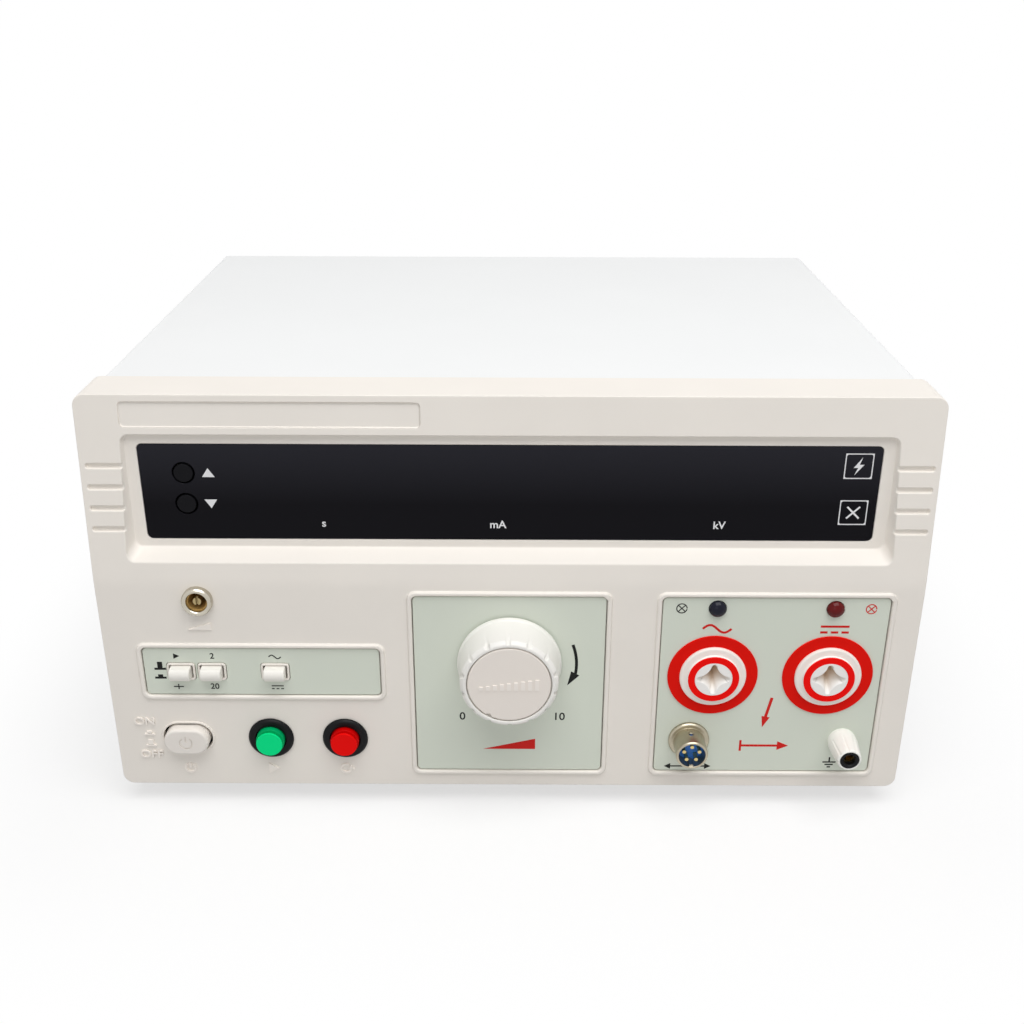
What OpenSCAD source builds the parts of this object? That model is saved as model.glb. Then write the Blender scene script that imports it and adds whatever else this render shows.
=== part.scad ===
// Bench hipot tester: a folded plastic front bezel on a painted steel case.
// The variable transformer sits behind the large knob, the high-voltage
// transformer stands at the right, the boards at the left.
// Sizes are in millimetres. Inside the modules y = 0 is the lower front face,
// +Y runs into the case, and z = 0 is the underside of the bezel.

/* [Case] */
// Width of the front bezel
case_w = 320; // [316:1:360]
// Height of the front bezel
case_h = 168; // [167:1:190]
// Depth from the lower front face to the back edge of the steel cover
case_d = 248; // [244:1:320]
// Height of the rubber feet below the steel chassis
foot_h = 12; // [9:0.5:16]
// Top diameter of a rubber foot
foot_d = 24; // [20:1:30]
// Sheet thickness of cover, chassis and rear panel
sheet_t = 1; // [0.8:0.1:1.4]
// Outer radius of the cover's folded edges
cover_r = 2.2; // [1.6:0.1:4]
// Height of the chassis side flanges
flange_h = 20; // [16:1:24]

/* [Front bezel] */
// Depth of the bezel behind the lower front face
bezel_d = 28; // [27:0.5:34]
// Wall of the front face
face_t = 3; // [2.4:0.1:3.4]
// Wall of the rim around the bezel
rim_t = 4.5; // [4:0.1:6]
// How far the rim stands out beyond the steel case
overhang = 2.4; // [2:0.1:3]
// Depth by which the steel case reaches into the rim
rebate_d = 6; // [5:0.5:7]
// Radius of the bezel's corners seen from the front
corner_r = 4.5; // [2:0.5:8]
// Height of the fold between the lower and the upper front face
fold_z = 93.7; // [92:0.1:95]
// Backward lean of the upper front face in degrees
lean = 4.75; // [3:0.25:5.5]
// Width of the raised bead around each front plate
bead_w = 1.8; // [1.2:0.1:2.5]
// Height of that bead
bead_h = 1; // [0.5:0.1:1.5]
// Thickness of the front plates let into the bezel
plate_t = 0.8; // [0.5:0.1:1.2]

/* [Display] */
// Distance of the display recess from each end of the bezel
recess_in = 15; // [13:0.5:17]
// Lower edge of the recess opening
recess_z0 = 102.3; // [101:0.1:103]
// Upper edge of the recess opening
recess_z1 = 152.7; // [152:0.1:154]
// Depth of the recess floor behind the lower front face
recess_y = 7; // [6.5:0.1:8]
// Rise of the sloping ledge below the window
ledge_rise = 4.1; // [2:0.1:6]
// Wall of the recess
recess_t = 2.5; // [2:0.1:3]
// Distance of the dark window from each end of the recess
window_in = 6.2; // [5:0.1:8]
// Height of the dark window
window_h = 38.6; // [37:0.1:40]
// Lower edge of the window
window_z = 109.7; // [109:0.1:111]
// Hole for an up or down button in the window
key_hole_d = 8.6; // [8.3:0.1:9.2]
// Diameter of an up or down button
key_d = 7.2; // [6:0.1:7.6]
// Travel of an up or down button
key_travel = 0.8; // [0.4:0.1:1]
// Distance of the buttons' axis from the window's left end
key_in = 16.3; // [14:0.1:18]
// Height of the up button
key_z = 136.8; // [136:0.1:138]
// Pitch between the up and the down button
key_pitch = 12.6; // [11:0.1:13]

/* [Push buttons] */
// Distance of the button strip's bead from the left end of the bezel
strip_in = 12.8; // [11:0.1:14]
// Distance between the button strip's bead and the knob plate's bead
strip_gap = 9.4; // [8:0.1:12]
// Height of the button strip's bead
strip_h = 25.6; // [22:0.1:28]
// Height of the button strip's middle
strip_z = 54.4; // [53:0.1:56]
// Distance of the first push button from the strip's left end
mode_in = 16.8; // [16:0.1:18]
// Pitch from the first to the second push button
range_pitch = 12.3; // [11.8:0.1:12.8]
// Distance of the third push button from the strip's left end
polarity_in = 54.2; // [53:0.1:56]
// Width of a push button cap
cap_w = 8.9; // [8:0.1:9.4]
// Height of a push button cap
cap_h = 5.4; // [4.6:0.1:6]
// Frame around a push button
cap_frame = 0.8; // [0.6:0.1:1]
// Travel of a push button
cap_travel = 3.5; // [2:0.1:3.6]
// Reach of a push button in front of the face
cap_out = 4.6; // [4:0.1:6]
// Distance of the power button from the left end of the bezel
power_in = 29.1; // [28:0.1:31]
// Height of the lower row of controls
row_z = 23.2; // [22:0.1:24]
// Width of the power button
power_w = 18.8; // [16:0.1:20]
// Height of the power button
power_h = 12.2; // [10:0.1:13]
// Travel of the power button
power_travel = 4; // [2:0.1:4.2]
// Reach of the power button in front of the face
power_out = 4.4; // [4.3:0.1:6]
// Distance of the start button from the left end of the bezel
start_in = 63; // [62:0.1:64]
// Distance of the reset button from the left end of the bezel
reset_in = 93.2; // [92:0.1:94]
// Flange diameter of the start and reset buttons
push_flange_d = 18.4; // [18:0.1:20]
// Barrel diameter of the start and reset buttons
push_barrel_d = 15.6; // [15:0.1:16]
// Cap diameter of the start and reset buttons
push_cap_d = 11.8; // [10:0.1:12]
// Reach of the start and reset caps in front of the face
push_out = 5.4; // [5:0.1:7]
// Travel of the start and reset buttons
push_travel = 3; // [2:0.1:3.2]

/* [Preset trimmer] */
// Distance of the preset trimmer from the left end of the bezel
trim_in = 39.4; // [38:0.1:41]
// Height of the preset trimmer
trim_z = 86.6; // [86:0.1:87]
// Flange diameter of the trimmer's bush
trim_flange_d = 12; // [11:0.1:12.6]
// Outside diameter of the trimmer's bush
trim_bush_d = 10; // [9.6:0.1:10.4]
// Bore of the trimmer's bush
trim_bore_d = 8; // [7:0.1:8.4]
// Diameter of the trimmer's slotted shaft
trim_shaft_d = 3.3; // [3:0.1:4]

/* [Knob and variable transformer] */
// Width of the knob plate's bead
knob_plate_w = 79.6; // [76:0.2:84]
// Lower edge of the knob and output plates' beads
plate_z0 = 5.7; // [5:0.1:7]
// Upper edge of the knob and output plates' beads
plate_z1 = 90.7; // [90:0.1:91.4]
// Height of the knob's axis
knob_z = 59.4; // [58:0.1:61]
// Largest diameter of the knob
knob_d = 41.2; // [36:0.2:46]
// Diameter of the knob's front rim
knob_front_d = 38; // [35:0.2:42]
// Diameter of the disc let into the knob's front
knob_cap_d = 32.8; // [30:0.2:33.6]
// Reach of the knob in front of the face
knob_out = 17.3; // [15:0.1:24]
// Number of grip notches around the knob's front rim
knob_notches = 16; // [12:1:24]
// Diameter of the knob's shaft
shaft_d = 8; // [6:0.5:10]
// Sweep of the knob from its lowest to its highest setting
knob_sweep = 300; // [270:5:310]
// Outside diameter of the wound ring
ring_d = 92; // [84:1:98]
// Bore of the wound ring
ring_bore = 36; // [34:1:42]
// Thickness of the wound ring
ring_t = 40; // [30:1:46]

/* [Outputs] */
// Width of the output plate's bead
output_w = 92.4; // [90:0.2:96]
// Distance of the output plate's bead from the right end of the bezel
output_in = 10.3; // [9:0.1:11]
// Distance between the two high-voltage sockets
socket_pitch = 45.6; // [44:0.1:47]
// Height of the high-voltage sockets
socket_z = 53.8; // [53:0.1:55]
// Diameter of the red washer around a high-voltage socket
washer_d = 35.8; // [34:0.1:40]
// Flange diameter of a high-voltage socket
socket_flange_d = 26.4; // [25:0.1:28]
// Face diameter of a high-voltage socket
socket_face_d = 20.2; // [19.6:0.1:22]
// Barrel diameter of a high-voltage socket
socket_barrel_d = 16; // [15.6:0.1:17]
// Inside diameter of the red ring on a socket's face
socket_ring_bore = 15; // [14.6:0.1:15.6]
// Plug bore of a high-voltage contact
plug_d = 4; // [3:0.1:4.4]
// Height of the two lamps
lamp_z = 83.8; // [83:0.1:84.2]
// Diameter of a lamp
lamp_d = 6.7; // [5:0.1:7.5]
// Distance of the control socket left of the output plate's middle
control_dx = 30.4; // [29:0.1:32]
// Barrel diameter of the control socket
control_d = 12.8; // [12:0.1:13.6]
// Reach of the control socket in front of the face
control_out = 11.8; // [11:0.1:14]
// Distance of the earth terminal right of the output plate's middle
earth_dx = 31.8; // [30:0.1:33]
// Largest diameter of the earth terminal's cap
earth_cap_d = 12.2; // [12:0.1:13]
// Reach of the earth terminal in front of the face
earth_out = 14.4; // [13.5:0.1:18]
// Thread diameter of the earth terminal's stud
earth_stud_d = 6; // [5.6:0.1:6.4]

/* [Back and inside] */
// Distance of the power inlet from the right end of the back
inlet_in = 60; // [50:1:70]
// Height of the power inlet
inlet_z = 62; // [56:1:80]
// Stack of the high-voltage transformer's core
core_stack = 44; // [36:1:50]
// Width of the high-voltage transformer's core
core_w = 92; // [84:1:96]
// Thickness of the circuit boards
board_t = 1.6; // [1:0.1:2]
// Height of the main board's standoffs
standoff_h = 10; // [6:1:14]
// Diameter of an internal high-voltage lead
lead_d = 5; // [3:0.5:6]

/* [Hidden] */
$fn = 64;

// Clearances: between moving pieces, of a shaft in its bore, and of a fixed piece in its seat
gap = 0.3;
fit = 0.05;
seat = 0.15;
// Overshoot of a cut past the face that it opens
cut = 1;

// Case
steel_w = case_w - 2 * overhang;
steel_h = case_h - 2 * overhang;
inner_w = steel_w - 2 * sheet_t - 2 * seat;
rebate_y = bezel_d - rebate_d;
chassis_y = rebate_y + 2;
chassis_top = overhang + sheet_t;
cover_y = rebate_y + gap;
panel_inset = 3;
panel_y1 = case_d - panel_inset;
panel_y0 = panel_y1 - sheet_t;
flange_y = 14;
flange_z0 = chassis_top + flange_h + 6;
front_flange_h = 10;
flange_inset = 6.5;
flange_back = 1;
flange_top_gap = 8;
vent_count = 12;
vent_w = 3;
vent_pitch = 6.5;
vent_h = 46;
side_vent_in = 46;
side_vent_y = case_d - side_vent_in;
rear_vent_in = 30;
rear_vent_z = [case_h * 0.35, case_h * 0.68];
rear_vent_h = vent_h - 6;
rear_vent_pitch = vent_pitch + 1;
rear_vent_x = inner_w / 2 - rear_vent_in - (vent_count - 1) * rear_vent_pitch;

// Screws
screw_d = 3;
screw_head_d = 6;
screw_head_h = 1.8;
screw_len = 8;
screw_hole = screw_d + 3 * seat;
side_screw_z = chassis_top + flange_h / 2;
side_screw_y = [60, case_d / 2 + 12, case_d - 40];
upper_screw_z = case_h - 44;
upper_screw_y = panel_y0 - flange_y / 2;
under_screw_in = 36;
under_screw_x = [under_screw_in - inner_w / 2, inner_w / 2 - under_screw_in];
under_screw_y = panel_y0 - flange_y / 2;
foot_in = 32;
foot_x = case_w / 2 - foot_in;
foot_y = [bezel_d + foot_d / 2 + 4, case_d - foot_d / 2 - 14];
foot_sink = foot_h / 2;
foot_taper = 3;
foot_grip = 4;

// Display recess, front plates and their beads
recess_w = case_w - 2 * recess_in;
window_w = recess_w - 2 * window_in;
plate_h = plate_z1 - plate_z0;
plate_mid = (plate_z0 + plate_z1) / 2;
bead_r = 3.5;

// Bosses on the back of the bezel
boss_d = 6;
pilot_d = screw_d + 2 * seat;
pilot_depth = 10;
bezel_boss_in = 12;
bezel_boss_end = case_w / 2 - bezel_boss_in;
bezel_boss_x = [-bezel_boss_end, -bezel_boss_end / 3, bezel_boss_end / 3, bezel_boss_end];
bezel_boss_z = rim_t + boss_d / 2 + 0.5;
display_boss_x = [-window_w * 0.36, window_w * 0.36];
display_boss_z = [recess_z0 - recess_t - boss_d / 2 + 1, case_h - rim_t - boss_d / 2 - 0.5];

// Display
key_x = window_w / 2 - key_in;
window_r = 2;
window_lip = 3;
window_lip_t = 1.5;
window_back = recess_y + recess_t;
display_y = 22;
display_board_w = window_w - 4;
display_board_z0 = trim_z + trim_pot_r() + 1.6;
module_d = 8;
digit_x = [-window_w * 0.256, -window_w * 0.018, window_w * 0.288];
digit_w = 50;
digit_h = 19;
light_in = 9;
light_x = window_w / 2 - light_in;
light_z = [140.7, 121.9];
light_w = 11;
key_back = display_y - 6;
key_switch_w = 6;
key_flange_d = key_hole_d + 2.4;
key_flange_t = 1;
key_proud = 0.3;

// Grooves beside the display and the bare strip above it
groove_count = 4;
groove_z = 115.8;
groove_pitch = 8.3;
groove_h = 2.6;
groove_d = 1.2;
groove_end = case_w / 2 - 3 - groove_h / 2;
name_in = 16.6;
name_z = 160.4;
name_w = 110.4;
name_x = name_in + name_w / 2 - case_w / 2;
name_h = 9.4;
name_d = 0.5;
name_r = 1.5;

// Push buttons
strip_x0 = strip_in - case_w / 2;
strip_w = -knob_plate_w / 2 - strip_gap - strip_x0;
strip_x = strip_x0 + strip_w / 2;
button_x = [strip_x0 + mode_in, strip_x0 + mode_in + range_pitch, strip_x0 + polarity_in];
power_x = case_w / 2 - power_in;
start_x = case_w / 2 - start_in;
reset_x = case_w / 2 - reset_in;
frame_out = 0.6;
frame_r = 1.2;
cap_r = 0.6;
cap_back = 8;
cap_stem_w = 4;
cap_stem_h = 3;
cap_stem_len = 8;
switch_y0 = cap_back + cap_travel + 0.5;
switch_len = cap_stem_len + cap_travel + 2;
switch_w = 10.4;
switch_h = 9;
switch_wall = 1;
switch_board_y = switch_y0 + switch_len;
switch_boss_x = [button_x[0] - switch_w / 2 - boss_d / 2 - 1, (button_x[1] + button_x[2]) / 2];
power_back = 8;
power_stem_len = 10;
power_stem_w = 6;
power_stem_h = 5;
power_body_y = power_back + power_travel + 1;
power_body_w = 24;
power_body_h = 16;
power_body_len = 26;
power_ear = 2;
power_boss_dx = power_body_w / 2 + boss_d / 2 - 1;
push_flange_t = 1.6;
push_back = 9;
push_bore_d = push_cap_d + 2 * gap;
push_body_len = push_back + push_travel + 8;
push_x = [-start_x, -reset_x];
push_step = 0.4;
push_lip = 1.8;

// Trimmer
trim_x = case_w / 2 - trim_in;
trim_out = 3;
trim_bush_len = 14;
trim_pot_len = 10;
trim_pot_wall = 1;
trim_slot_w = 0.7;
trim_slot_d = 1;
trim_shaft_y = 2.5;
function trim_pot_r() = 7.5;

// Knob and variable transformer
knob_gap = 0.8;
knob_floor = knob_out - 2;
knob_skirt = 2.4;
knob_edge = 1.4;
knob_lip = 0.9;
knob_wall = 2;
notch_d = 3;
notch_len = 6;
index_d = 2.4;
index_deep = 1;
cap_sunk = 0.1;
index_angle = 270 - (360 - knob_sweep) / 2;
shaft_hole = shaft_d + 4;
arm_y0 = 46;
arm_t = 8;
arm_w = 10;
arm_step = 2;
arm_hub_d = shaft_d + 12;
brush_len = 5;
ring_y0 = arm_y0 + arm_t + brush_len + gap;
ring_y1 = ring_y0 + ring_t;
ring_edge = 4;
hub_d = ring_bore - 2 * seat;
brush_r = (ring_d + ring_bore) / 4 + 3;
brush_w = 6;
arm_x0 = shaft_d / 2 + 2;
arm_x1 = brush_r + brush_w / 2 + 2;
stop_d = 3;
stop_r = (arm_w / 2 + stop_d / 2 + gap) / sin((360 - knob_sweep) / 2);
stop_y0 = arm_y0 + arm_step;
bracket_t = 2.5;
bracket_w = 88;
bracket_top = knob_z + ring_d / 2 + 2;
bracket_foot = 24;
shaft_end = ring_y1 + bracket_t + 4;

// Outputs
output_x = case_w / 2 - output_in - output_w / 2;
control_x = output_x - control_dx;
earth_x = output_x + earth_dx;
socket_x = [output_x - socket_pitch / 2, output_x + socket_pitch / 2];
washer_t = 0.6;
socket_flange_out = washer_t + 1.4;
socket_ring_t = 0.5;
socket_out = socket_flange_out + 1.6;
socket_len = 24;
star_tip = 7;
star_waist = 3.4;
star_depth = socket_out + 1;
star_c = star_tip * 0.93;
star_arc = star_c * sqrt(2) - star_waist;
star_blend = 0.5;
funnel_y = 11;
contact_d = plug_d + 3;
contact_y1 = socket_len + 6;
contact_wall = 3;
lamp_proud = 1;
lamp_ball_d = lamp_d * 1.15;
lamp_ball_y = lamp_d * 0.3 - lamp_proud;
lamp_len = 12;
control_flange_d = control_d + 3.4;
control_flange_t = 1.4;
control_wall = 1.1;
control_len = 14;
control_face = control_out - 5.5;
pin_d = 1.5;
pin_count = 5;
pin_ring_d = 6.4;
pin_out = control_out - 1.4;
pin_tail = 3;
earth_collar_d = earth_cap_d + 0.6;
earth_collar_t = 1.2;
earth_front_d = 9.6;
earth_skirt = 3;
earth_edge = 0.8;
earth_base = earth_collar_t + gap;
earth_washer_t = 0.8;
earth_washer_d = earth_cap_d - 2.2;
earth_core_d = 7.6;
earth_core_t = 2.6;
earth_post_out = earth_out - earth_core_t - gap;
earth_post_len = 14;
plug_depth = 11;

// Nuts behind the front: place, thread diameter and width across flats
nut_t = 4;
nut_y = face_t;
nuts = [[-start_x, row_z, push_barrel_d, 20], [-reset_x, row_z, push_barrel_d, 20],
        [socket_x[0], socket_z, socket_barrel_d, 22], [socket_x[1], socket_z, socket_barrel_d, 22],
        [control_x, row_z, control_d, 17], [earth_x, row_z, earth_stud_d, 10],
        [-trim_x, trim_z, trim_bush_d, 13]];

// Back
inlet_x = case_w / 2 - inlet_in;
inlet_flange_w = 32;
inlet_flange_h = 52;
inlet_flange_t = 2.5;
inlet_flange_r = 3;
inlet_body_w = 28;
inlet_body_h = 47;
inlet_body_len = 26;
inlet_cavity_w = 24.6;
inlet_cavity_h = 17;
inlet_cavity_d = 16;
inlet_cavity_r = 2;
inlet_cavity_z = -10.5;
blade_w = 2;
blade_h = 4;
blade_len = 13;
blade_x = 7;
blade_z = -0.5;
earth_blade_z = 3.5;
drawer_w = 20;
drawer_h = 12;
drawer_len = 20;
drawer_z = 12;
drawer_lip_w = drawer_w - 4;
drawer_lip = 3;
drawer_lip_r = 1;
drawer_lip_out = 3;
rear_stud_dx = 45;
rear_stud_x = rear_stud_dx - inlet_x;
rear_stud_z = 34;
rear_stud_d = 5;
rear_stud_out = 14;
rear_stud_hex = 10;
rear_stud_hex_t = 4;
rear_stud_in = 6;

// High-voltage transformer
core_h = core_w * 5 / 6;
core_limb = core_w / 3;
core_window = core_w / 6;
core_in = 5;
core_back = 78;
core_x = inner_w / 2 - core_w / 2 - core_in;
core_y = case_d - core_back;
core_z = chassis_top + core_h / 2;
coil_over = 20;
clamp_h = (core_h - core_w / 2) / 2 - 2;
clamp_t = 2;
clamp_foot = 12;
coil_h = core_w / 2 - 2 * gap;
coil_front = core_y - core_stack / 2 - coil_over;
can_d = 36;
can_h = 62;
can_gap = 20;
can_back = 24;
can_x = core_x - core_w / 2 - can_d / 2 - can_gap;
can_y = core_y + can_back;
can_terminal_d = 5;
can_terminal_h = 10;
aux_in = 44;
aux_x = aux_in - inner_w / 2;
aux_y = 84;
aux_w = 48;
aux_h = 40;
aux_stack = 18;
aux_coil_d = aux_stack + 18;

// Main board
main_in = 12;
main_w = 82;
main_x0 = main_in - inner_w / 2;
main_x1 = main_x0 + main_w;
main_y0 = 132;
main_y1 = panel_y0 - flange_y - 4;
main_z = chassis_top + standoff_h;
standoff_d = 6;
standoff_in = 6;
relay_size = [13, 29, 16];
relay_pitch = 18;
relay_in = [8, 10, 0];
smooth_d = 18;
smooth_h = 24;
smooth_pitch = 24;
smooth_in = [20, 58, 0];
block_size = [10, 34, 12];
block_in = [16, 46];

// The finished part stands on its feet, centred under its own box
lift = foot_h - overhang;
rear_reach = rear_stud_out - panel_inset;
front_y = knob_out - (knob_out + case_d + rear_reach) / 2;

module place() {
    translate([0, front_y, lift]) children();
}

// A flat outline drawn in x and z, drawn out from y0 to y1
module along_y(y0, y1) {
    translate([0, y1, 0]) rotate([90, 0, 0]) linear_extrude(y1 - y0) children();
}

// A flat outline drawn in y and z, drawn out from x0 to x1
module along_x(x0, x1) {
    translate([x0, 0, 0]) rotate([90, 0, 90]) linear_extrude(x1 - x0) children();
}

// A frame at a place on the front, its own z pointing at the viewer
module outward(x, z, y = 0) {
    translate([x, y, z]) rotate([90, 0, 0]) children();
}

module rod(x, z, y0, y1, d) {
    translate([x, y0, z]) rotate([-90, 0, 0]) cylinder(d = d, h = y1 - y0);
}

module pipe(x, z, y0, y1, d, bore) {
    difference() {
        rod(x, z, y0, y1, d);
        rod(x, z, y0 - cut, y1 + cut, bore);
    }
}

module box(x0, x1, y0, y1, z0, z1) {
    translate([x0, y0, z0]) cube([x1 - x0, y1 - y0, z1 - z0]);
}

module rounded(w, h, r) {
    square([w - 2 * r, h], center = true);
    square([w, h - 2 * r], center = true);
    for (sx = [-1, 1], sz = [-1, 1])
        translate([sx * (w / 2 - r), sz * (h / 2 - r)]) circle(r);
}

module stadium(w, h) {
    square([w - h, h], center = true);
    for (s = [-1, 1]) translate([s * (w - h) / 2, 0]) circle(d = h);
}

// How far the leaning upper face stands back at a height
function lean_at(z) = z > fold_z ? (z - fold_z) * tan(lean) : 0;

// A frame lying on the leaning upper face at a height
module on_upper(z) {
    translate([0, lean_at(z), z]) rotate([-lean, 0, 0]) children();
}

// Plain screw along its own z, head at the bottom
module screw(len) {
    translate([0, 0, -screw_head_h]) cylinder(d = screw_head_d, h = screw_head_h);
    cylinder(d = screw_d, h = len);
}

module side_screws() {
    for (s = [-1, 1]) {
        for (y = side_screw_y)
            translate([s * steel_w / 2, y, side_screw_z]) rotate([0, -s * 90, 0]) screw(screw_len);
        translate([s * steel_w / 2, upper_screw_y, upper_screw_z]) rotate([0, -s * 90, 0]) screw(screw_len);
    }
}

module side_screw_holes() {
    for (s = [-1, 1]) {
        for (y = side_screw_y)
            translate([s * case_w / 2, y, side_screw_z]) rotate([0, -s * 90, 0])
                cylinder(d = screw_hole, h = screw_len);
        translate([s * case_w / 2, upper_screw_y, upper_screw_z]) rotate([0, -s * 90, 0])
            cylinder(d = screw_hole, h = screw_len);
    }
}

// A steel section seen from the front: square below, with rounded upper corners
module steel_section(w, z0, z1, r) {
    translate([0, (z0 + z1) / 2]) rounded(w, z1 - z0, r);
    translate([-w / 2, z0]) square([w, (z1 - z0) / 2]);
}

// Outline of the steel case, grown by a clearance
module steel_outline(grow = 0) {
    steel_section(steel_w + 2 * grow, overhang - grow, overhang + steel_h + grow, cover_r + grow);
}

module bezel_block() {
    intersection() {
        along_y(-cut, bezel_d) translate([0, case_h / 2]) rounded(case_w, case_h, corner_r);
        along_x(-case_w, case_w)
            polygon([[0, 0], [0, fold_z], [lean_at(case_h), case_h], [bezel_d, case_h], [bezel_d, 0]]);
    }
}

module bezel_cavity() {
    top = case_h - rim_t;
    along_x(-case_w / 2 + rim_t, case_w / 2 - rim_t)
        polygon([[face_t, rim_t], [face_t, fold_z], [face_t + lean_at(top), top],
                 [bezel_d + cut, top], [bezel_d + cut, rim_t]]);
}

module recess_cut() {
    along_x(-recess_w / 2, recess_w / 2)
        polygon([[-cut, recess_z0], [lean_at(recess_z0), recess_z0], [recess_y, recess_z0 + ledge_rise],
                 [recess_y, recess_z1], [-cut, recess_z1]]);
}

module window_outline(grow = 0) {
    translate([0, window_z + window_h / 2])
        rounded(window_w + 2 * grow, window_h + 2 * grow, window_r + grow);
}

module bead(w, h) {
    difference() {
        rounded(w, h, bead_r);
        rounded(w - 2 * bead_w, h - 2 * bead_w, bead_r - bead_w);
    }
}

// Outline of a front plate inside its bead
module plate_outline(w, h, grow = 0) {
    rounded(w - 2 * bead_w + 2 * grow, h - 2 * bead_w + 2 * grow, bead_r - bead_w + grow);
}

// The three front plates: middle and size of each bead
function plates() = [[strip_x, strip_z, strip_w, strip_h], [0, plate_mid, knob_plate_w, plate_h],
                     [output_x, plate_mid, output_w, plate_h]];

module frame_outline(grow = 0) {
    rounded(cap_w + 2 * (gap + cap_frame + grow), cap_h + 2 * (gap + cap_frame + grow), frame_r + grow);
}

// Openings through the lower front face, shared by the bezel and the plates
module output_holes(y0, y1) {
    for (x = socket_x) rod(x, socket_z, y0, y1, socket_barrel_d + 2 * seat);
    for (x = socket_x) rod(x, lamp_z, y0, y1, lamp_d + 2 * seat);
    rod(control_x, row_z, y0, y1, control_d + 2 * seat);
    rod(earth_x, row_z, y0, y1, earth_stud_d + 2 * seat);
}

module side_grooves() {
    for (i = [0:groove_count - 1], s = [-1, 1]) on_upper(groove_z + i * groove_pitch) {
        x0 = min(s * recess_w / 2 - s, s * groove_end);
        x1 = max(s * recess_w / 2 - s, s * groove_end);
        box(x0, x1, -cut, groove_d, -groove_h / 2, groove_h / 2);
        rod(s * groove_end, 0, -cut, groove_d, groove_h);
    }
}

// A strip for a name, left bare
module name_strip() {
    on_upper(name_z) translate([name_x, 0, 0]) along_y(-cut, name_d) rounded(name_w, name_h, name_r);
}

module bosses() {
    for (x = switch_boss_x) rod(x, strip_z, face_t - cut, switch_board_y, boss_d);
    for (s = [-1, 1]) rod(-power_x + s * power_boss_dx, row_z, face_t - cut, power_body_y, boss_d);
    for (x = bezel_boss_x) rod(x, bezel_boss_z, face_t - cut, chassis_y, boss_d);
    for (x = display_boss_x, z = display_boss_z)
        rod(x, z, face_t + lean_at(z) - cut, display_y, boss_d);
}

module front_bezel() color("#dcd8d1") place() difference() {
    union() {
        difference() {
            bezel_block();
            bezel_cavity();
            along_y(rebate_y, bezel_d + cut) steel_outline(seat);
        }
        intersection() {
            bezel_block();
            box(-recess_w / 2 - recess_t, recess_w / 2 + recess_t, -cut, window_back,
                recess_z0 - recess_t, recess_z1 + recess_t);
        }
        for (p = plates()) along_y(-bead_h, face_t / 2) translate([p[0], p[1]]) bead(p[2], p[3]);
        bosses();
    }
    recess_cut();
    along_y(0, window_back + cut) window_outline(seat);
    side_grooves();
    name_strip();
    for (p = plates()) difference() {
        along_y(-bead_h - cut, plate_t) translate([p[0], p[1]]) plate_outline(p[2], p[3]);
        for (x = button_x) along_y(-frame_out, plate_t + cut) translate([x, strip_z]) frame_outline();
    }
    for (x = button_x) along_y(-frame_out - cut, face_t + cut)
        translate([x, strip_z]) square([cap_w + 2 * gap, cap_h + 2 * gap], center = true);
    along_y(-cut, face_t + cut) translate([-power_x, row_z]) stadium(power_w + 4 * gap, power_h + 4 * gap);
    for (x = push_x) rod(x, row_z, -cut, face_t + cut, push_barrel_d + 2 * seat);
    rod(-trim_x, trim_z, -cut, face_t + cut, trim_bush_d + 2 * seat);
    rod(0, knob_z, -cut, face_t + cut, shaft_hole);
    output_holes(-cut, face_t + cut);
    for (x = bezel_boss_x) rod(x, bezel_boss_z, chassis_y - pilot_depth, chassis_y + cut, pilot_d);
}

// An upside-down U of sheet steel, its front edge inside the bezel's rim
module top_cover() color("#eef0f0") place() difference() {
    along_y(cover_y, case_d) difference() {
        steel_outline();
        steel_section(steel_w - 2 * sheet_t, overhang - cut, overhang + steel_h - sheet_t,
                      cover_r - sheet_t);
    }
    for (s = [-1, 1], i = [0:vent_count - 1])
        along_x(s * steel_w / 2 - 2 * sheet_t, s * steel_w / 2 + 2 * sheet_t)
            translate([side_vent_y - i * vent_pitch, case_h / 2]) rotate(90) stadium(vent_h, vent_w);
    side_screw_holes();
}

module bottom_chassis() color("#b9bcbd") place() difference() {
    union() {
        box(-inner_w / 2, inner_w / 2, chassis_y, panel_y1, overhang, chassis_top);
        box(flange_inset - inner_w / 2, inner_w / 2 - flange_inset, chassis_y, chassis_y + sheet_t,
            overhang, overhang + front_flange_h);
        for (s = [-1, 1]) translate([s * (inner_w - sheet_t) / 2, 0, 0])
            box(-sheet_t / 2, sheet_t / 2, bezel_d + 4, panel_y0 - flange_back,
                overhang, chassis_top + flange_h);
    }
    side_screw_holes();
    for (x = bezel_boss_x) rod(x, bezel_boss_z, chassis_y - cut, chassis_y + sheet_t + cut, screw_hole);
    for (x = under_screw_x) translate([x, under_screw_y, 0]) cylinder(d = screw_hole, h = 2 * chassis_top);
    for (s = [-1, 1], y = foot_y)
        translate([s * foot_x, y, 0]) cylinder(d = screw_hole, h = 2 * chassis_top);
}

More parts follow.
